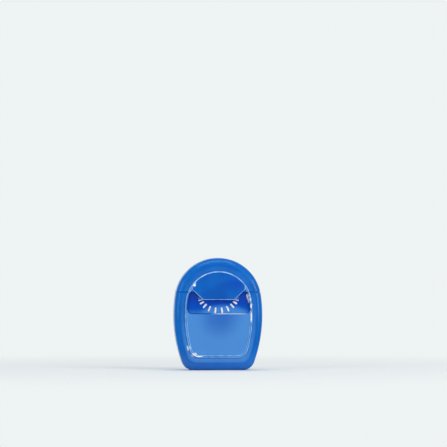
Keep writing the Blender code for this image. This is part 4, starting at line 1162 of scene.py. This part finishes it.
def deck():
    """The deck across the mouth, with its rounded edge, the guide turret and the cutter's post."""
    side = (DECK_UPPER.x - DECK_LOWER.x) / 2 - DECK_CORNER
    near, far = DECK_LOWER.y + DECK_CORNER, DECK_UPPER.y - DECK_CORNER
    rows = [(DECK_EDGE - out, DECK_TOP - y) for out, y in edge_round(DECK_EDGE)]
    rings = []
    for inset, level in [(0, DECK_LOWER.z), *rows]:
        outline = []
        for i, corner in enumerate(((side, near), (side, far), (-side, far), (-side, near)), -1):
            turns = (i * QUARTER, (i + 1) * QUARTER)
            outline += arc(corner, DECK_CORNER - inset, *turns, CORNER_STEPS)
        rings.append((outline, level))
    plate = stacked("Z", rings, name="deck")

    centre = (GUIDE_PLACE, SPOOL_Y, 0)
    skirt = GUIDE_BASE_RADIUS + GUIDE_SKIRT
    stations = [(DECK_TOP - SINK, skirt)]
    stations += arc((DECK_TOP + GUIDE_SKIRT, skirt), GUIDE_SKIRT, pi, 3 * QUARTER, EDGE_STEPS)
    lip = edge_round(GUIDE_LIP)
    stations += [(GUIDE_TOP - y, GUIDE_TOP_RADIUS - GUIDE_LIP + out) for out, y in lip]
    join(plate, turned("Z", centre, *stations))
    stations = [(DECK_LOWER.z - SINK, GUIDE_MOUTH_RADIUS), (DECK_TOP, GUIDE_HOLE_RADIUS)]
    stations += [(GUIDE_TOP - y, GUIDE_HOLE_RADIUS + GUIDE_LIP - out) for out, y in lip]
    stations.append((GUIDE_TOP + OVERRUN, GUIDE_HOLE_RADIUS + GUIDE_LIP))
    cut(plate, turned("Z", centre, *stations))

    depth = CUTTER_HALF_DEPTH - CUTTER_SHEET - CUTTER_FIT
    near, far = SPOOL_Y - depth, SPOOL_Y + depth
    profile = [(near, DECK_TOP - SINK), (far, DECK_TOP - SINK)]
    profile += round_top(near, far, POST_TOP, DECK_EDGE)
    join(plate, prism("X", profile, CUTTER_LOWER.x, CUTTER_UPPER.x))
    return plate


def cutter():
    """The stamped cutter: a strip bent down at both sides, with one pointed tooth raised."""
    low, top, under = CUTTER_LOWER.z, CUTTER_PLATE, CUTTER_PLATE - CUTTER_SHEET
    near, far = CUTTER_LOWER.y, CUTTER_UPPER.y
    inner_near, inner_far = near + CUTTER_SHEET, far - CUTTER_SHEET
    profile = [(far, low), *round_top(near, far, top, CUTTER_SHEET + CUTTER_BEND), (near, low)]
    inner = round_top(inner_near, inner_far, under, CUTTER_BEND)
    profile += [(inner_near, low), *reversed(inner), (inner_far, low)]
    blade = prism("X", profile, CUTTER_LOWER.x, CUTTER_UPPER.x, name="cutter")

    middle_x = (CUTTER_LOWER.x + CUTTER_UPPER.x) / 2
    root_y, tip_y = SPOOL_Y + TOOTH_LENGTH / 2, SPOOL_Y - TOOTH_LENGTH / 2
    half = TOOTH_WIDTH / 2 + WINDOW_MARGIN
    left, right = middle_x - half, middle_x + half
    corners = [(left, tip_y), (right, tip_y), (right, root_y), (left, root_y)]
    cut(blade, prism("Z", corners, under - SINK, top + SINK))

    root = Vector((middle_x, root_y + CUTTER_SHEET / 2, under))
    along = Vector((0, -cos(TOOTH_ANGLE), sin(TOOTH_ANGLE)))
    thick = Vector((0, sin(TOOTH_ANGLE), cos(TOOTH_ANGLE))) * CUTTER_SHEET
    rings = []
    for share, width_share in TOOTH_SHARES:
        middle = root + along * TOOTH_LENGTH * share
        side = Vector((TOOTH_WIDTH / 2 * width_share, 0, 0))
        left, right = middle - side, middle + side
        rings.append([left, right, right + thick, left + thick])
    join(blade, loft(rings))
    return blade


def lamp(name, place, width, height, power, shading):
    """A rectangular lamp aimed at the case, either for its shading or for its reflections."""
    data = bpy.data.lights.new(name, "AREA")
    data.shape = "RECTANGLE"
    data.size, data.size_y = width, height
    data.energy = power
    holder = shown(name, data)
    holder.location = place
    aim = Vector((0, 0, CASE_HEIGHT / 2)) - Vector(place)
    holder.rotation_euler = aim.to_track_quat("-Z", "Y").to_euler()
    holder.visible_diffuse = shading
    holder.visible_glossy = not shading


def shown_directly(node):
    """1 for rays from the camera and for those that gloss or clear matter sends on, else 0."""
    rays = node("LightPath").outputs
    sent_on = node("Math MAXIMUM", rays["Is Glossy Ray"], rays["Is Transmission Ray"])
    return node("Math MAXIMUM", rays["Is Camera Ray"], sent_on)


def dim_side(node, direction):
    """1 for gloss that mirrors the room's dim side, in front of the case, else 0."""
    forward = node("SeparateXYZ", direction).outputs["Y"]
    before_case = node("MapRange SMOOTHSTEP", forward, 0.7, 0.2)
    glossy = node("LightPath").outputs["Is Glossy Ray"]
    return node("Math MULTIPLY", before_case, glossy)


def pale_paper():
    """Matt pale paper; far from the case it fades into the backdrop's even tone."""
    material, node, shader = new_material("pale_paper")
    place = node("TexCoord").outputs["Object"]
    tooth = node("TexNoise", place, Scale=1 / (2 * MM), Detail=3.0)
    paper = node("Mix RGBA", Factor=tooth, A="#ECF0F0", B="#F0F4F4")
    lit = shader(Base_Color=paper, Roughness=0.9, Specular_IOR_Level=0.1)
    away = node("VectorMath LENGTH", place)
    fade = node("MapRange SMOOTHSTEP", away, *PAPER_FADES)
    faded = node("Math MULTIPLY", fade, shown_directly(node))
    paper_seen = node("MixShader", faded, lit, node("Emission", BACKDROP_TONE))
    direction = node("VectorMath NORMALIZE", place)
    beyond = node("MapRange SMOOTHSTEP", away, *PAPER_DIMS)
    dimmed = node("Math MULTIPLY", dim_side(node, direction), beyond)
    seen = node("MixShader", dimmed, paper_seen, node("Emission", DIM_SIDE_TONE))
    tree = material.node_tree
    feed(tree, tree.nodes["Material Output"], seen)
    return material


def studio():
    """A plain pale floor in an even pale room, whose side in front of the case is dim."""
    data = bpy.data.meshes.new("floor")
    near, far = -FLOOR_REACH, FLOOR_REACH
    corners = ((near, near, 0), (far, near, 0), (far, far, 0), (near, far, 0))
    data.from_pydata(corners, [], [range(len(corners))])
    data.materials.append(pale_paper())
    floor = shown("floor", data)

    world = bpy.data.worlds.new("studio")
    SCENE.world = world
    world.use_nodes = True
    tree = world.node_tree
    node = partial(add, tree)
    dim = dim_side(node, node("TexCoord").outputs["Generated"])
    room = node("Mix RGBA", Factor=dim, A=BACKDROP_TONE, B=DIM_SIDE_TONE)
    tone = node("Mix RGBA", Factor=shown_directly(node), A=ROOM_TONE, B=room)
    feed(tree, tree.nodes["Background"], Color=tone)


def photo_camera():
    """The photograph's view: from far off, a little to the left, with the case low in the frame."""
    data = bpy.data.cameras.new("camera")
    data.sensor_width = SENSOR
    data.lens = SENSOR * CAMERA_AWAY / (PHOTO_PIXELS * PIXEL)
    data.clip_end = 2 * CAMERA_AWAY + BACKDROP_ROOM
    camera = shown("camera", data)
    SCENE.camera = camera
    turn = atan2(CAMERA_LEFT, CAMERA_AWAY)
    aside, below = ((at - PHOTO_PIXELS / 2) * PIXEL for at in CASE_AT_PIXEL)
    camera.location = (
        -CAMERA_AWAY * sin(turn) - aside * cos(turn),
        -CAMERA_AWAY * cos(turn) + aside * sin(turn),
        CASE_HEIGHT / 2 + below,
    )
    camera.rotation_euler = (QUARTER, 0, -turn)


SCENE.view_settings.view_transform = "Standard"

photo_camera()
studio()
lamp("key", (0.65, -0.65, 0.6), 0.5, 0.5, 3.3, True)
lamp("fill", (-0.7, -0.6, 0.4), 0.5, 0.5, 1.5, True)
lamp("low_fill", (0.2, -0.9, 0.12), 0.6, 0.2, 0.7, True)
lamp("above", (0.0, 0.1, 1.0), 0.8, 0.6, 3.0, True)
lamp("top_glint", (0.0, -0.35, 0.8), 0.8, 0.16, 0.9, False)
lamp("left_glint", (-0.8, -0.45, 0.2), 0.14, 0.6, 0.5, False)
lamp("right_glint", (0.8, -0.45, 0.2), 0.2, 0.6, 1.0, False)

blue = moulded_polypropylene()
glinting_ribs = rubbed_rib_polypropylene()
natural = natural_polypropylene()
steel = nickel_plated_steel()
floss = waxed_floss()

finished(without_slivers(front_shell()), "case", "case_plastic", blue, "front_shell")
finished(without_slivers(back_shell()), "case", "case_plastic", blue, "back_shell")
finished(without_slivers(lid()), "lid", "case_plastic", blue, "lid")
finished(rib_fan(glinting_ribs), "case", "case_plastic", glinting_ribs)
finished(without_slivers(deck()), "case", "natural_plastic", natural, "deck_insert")
finished(without_slivers(cutter()), "case", "cutter_steel", steel, "cutter_blade")
finished(spool(), "spool", "natural_plastic", natural, "spool_core")
finished(wound_floss(floss), "spool", "floss", floss, "floss_winding")
finished(threaded_floss(floss), "case", "floss", floss, "floss_lead")
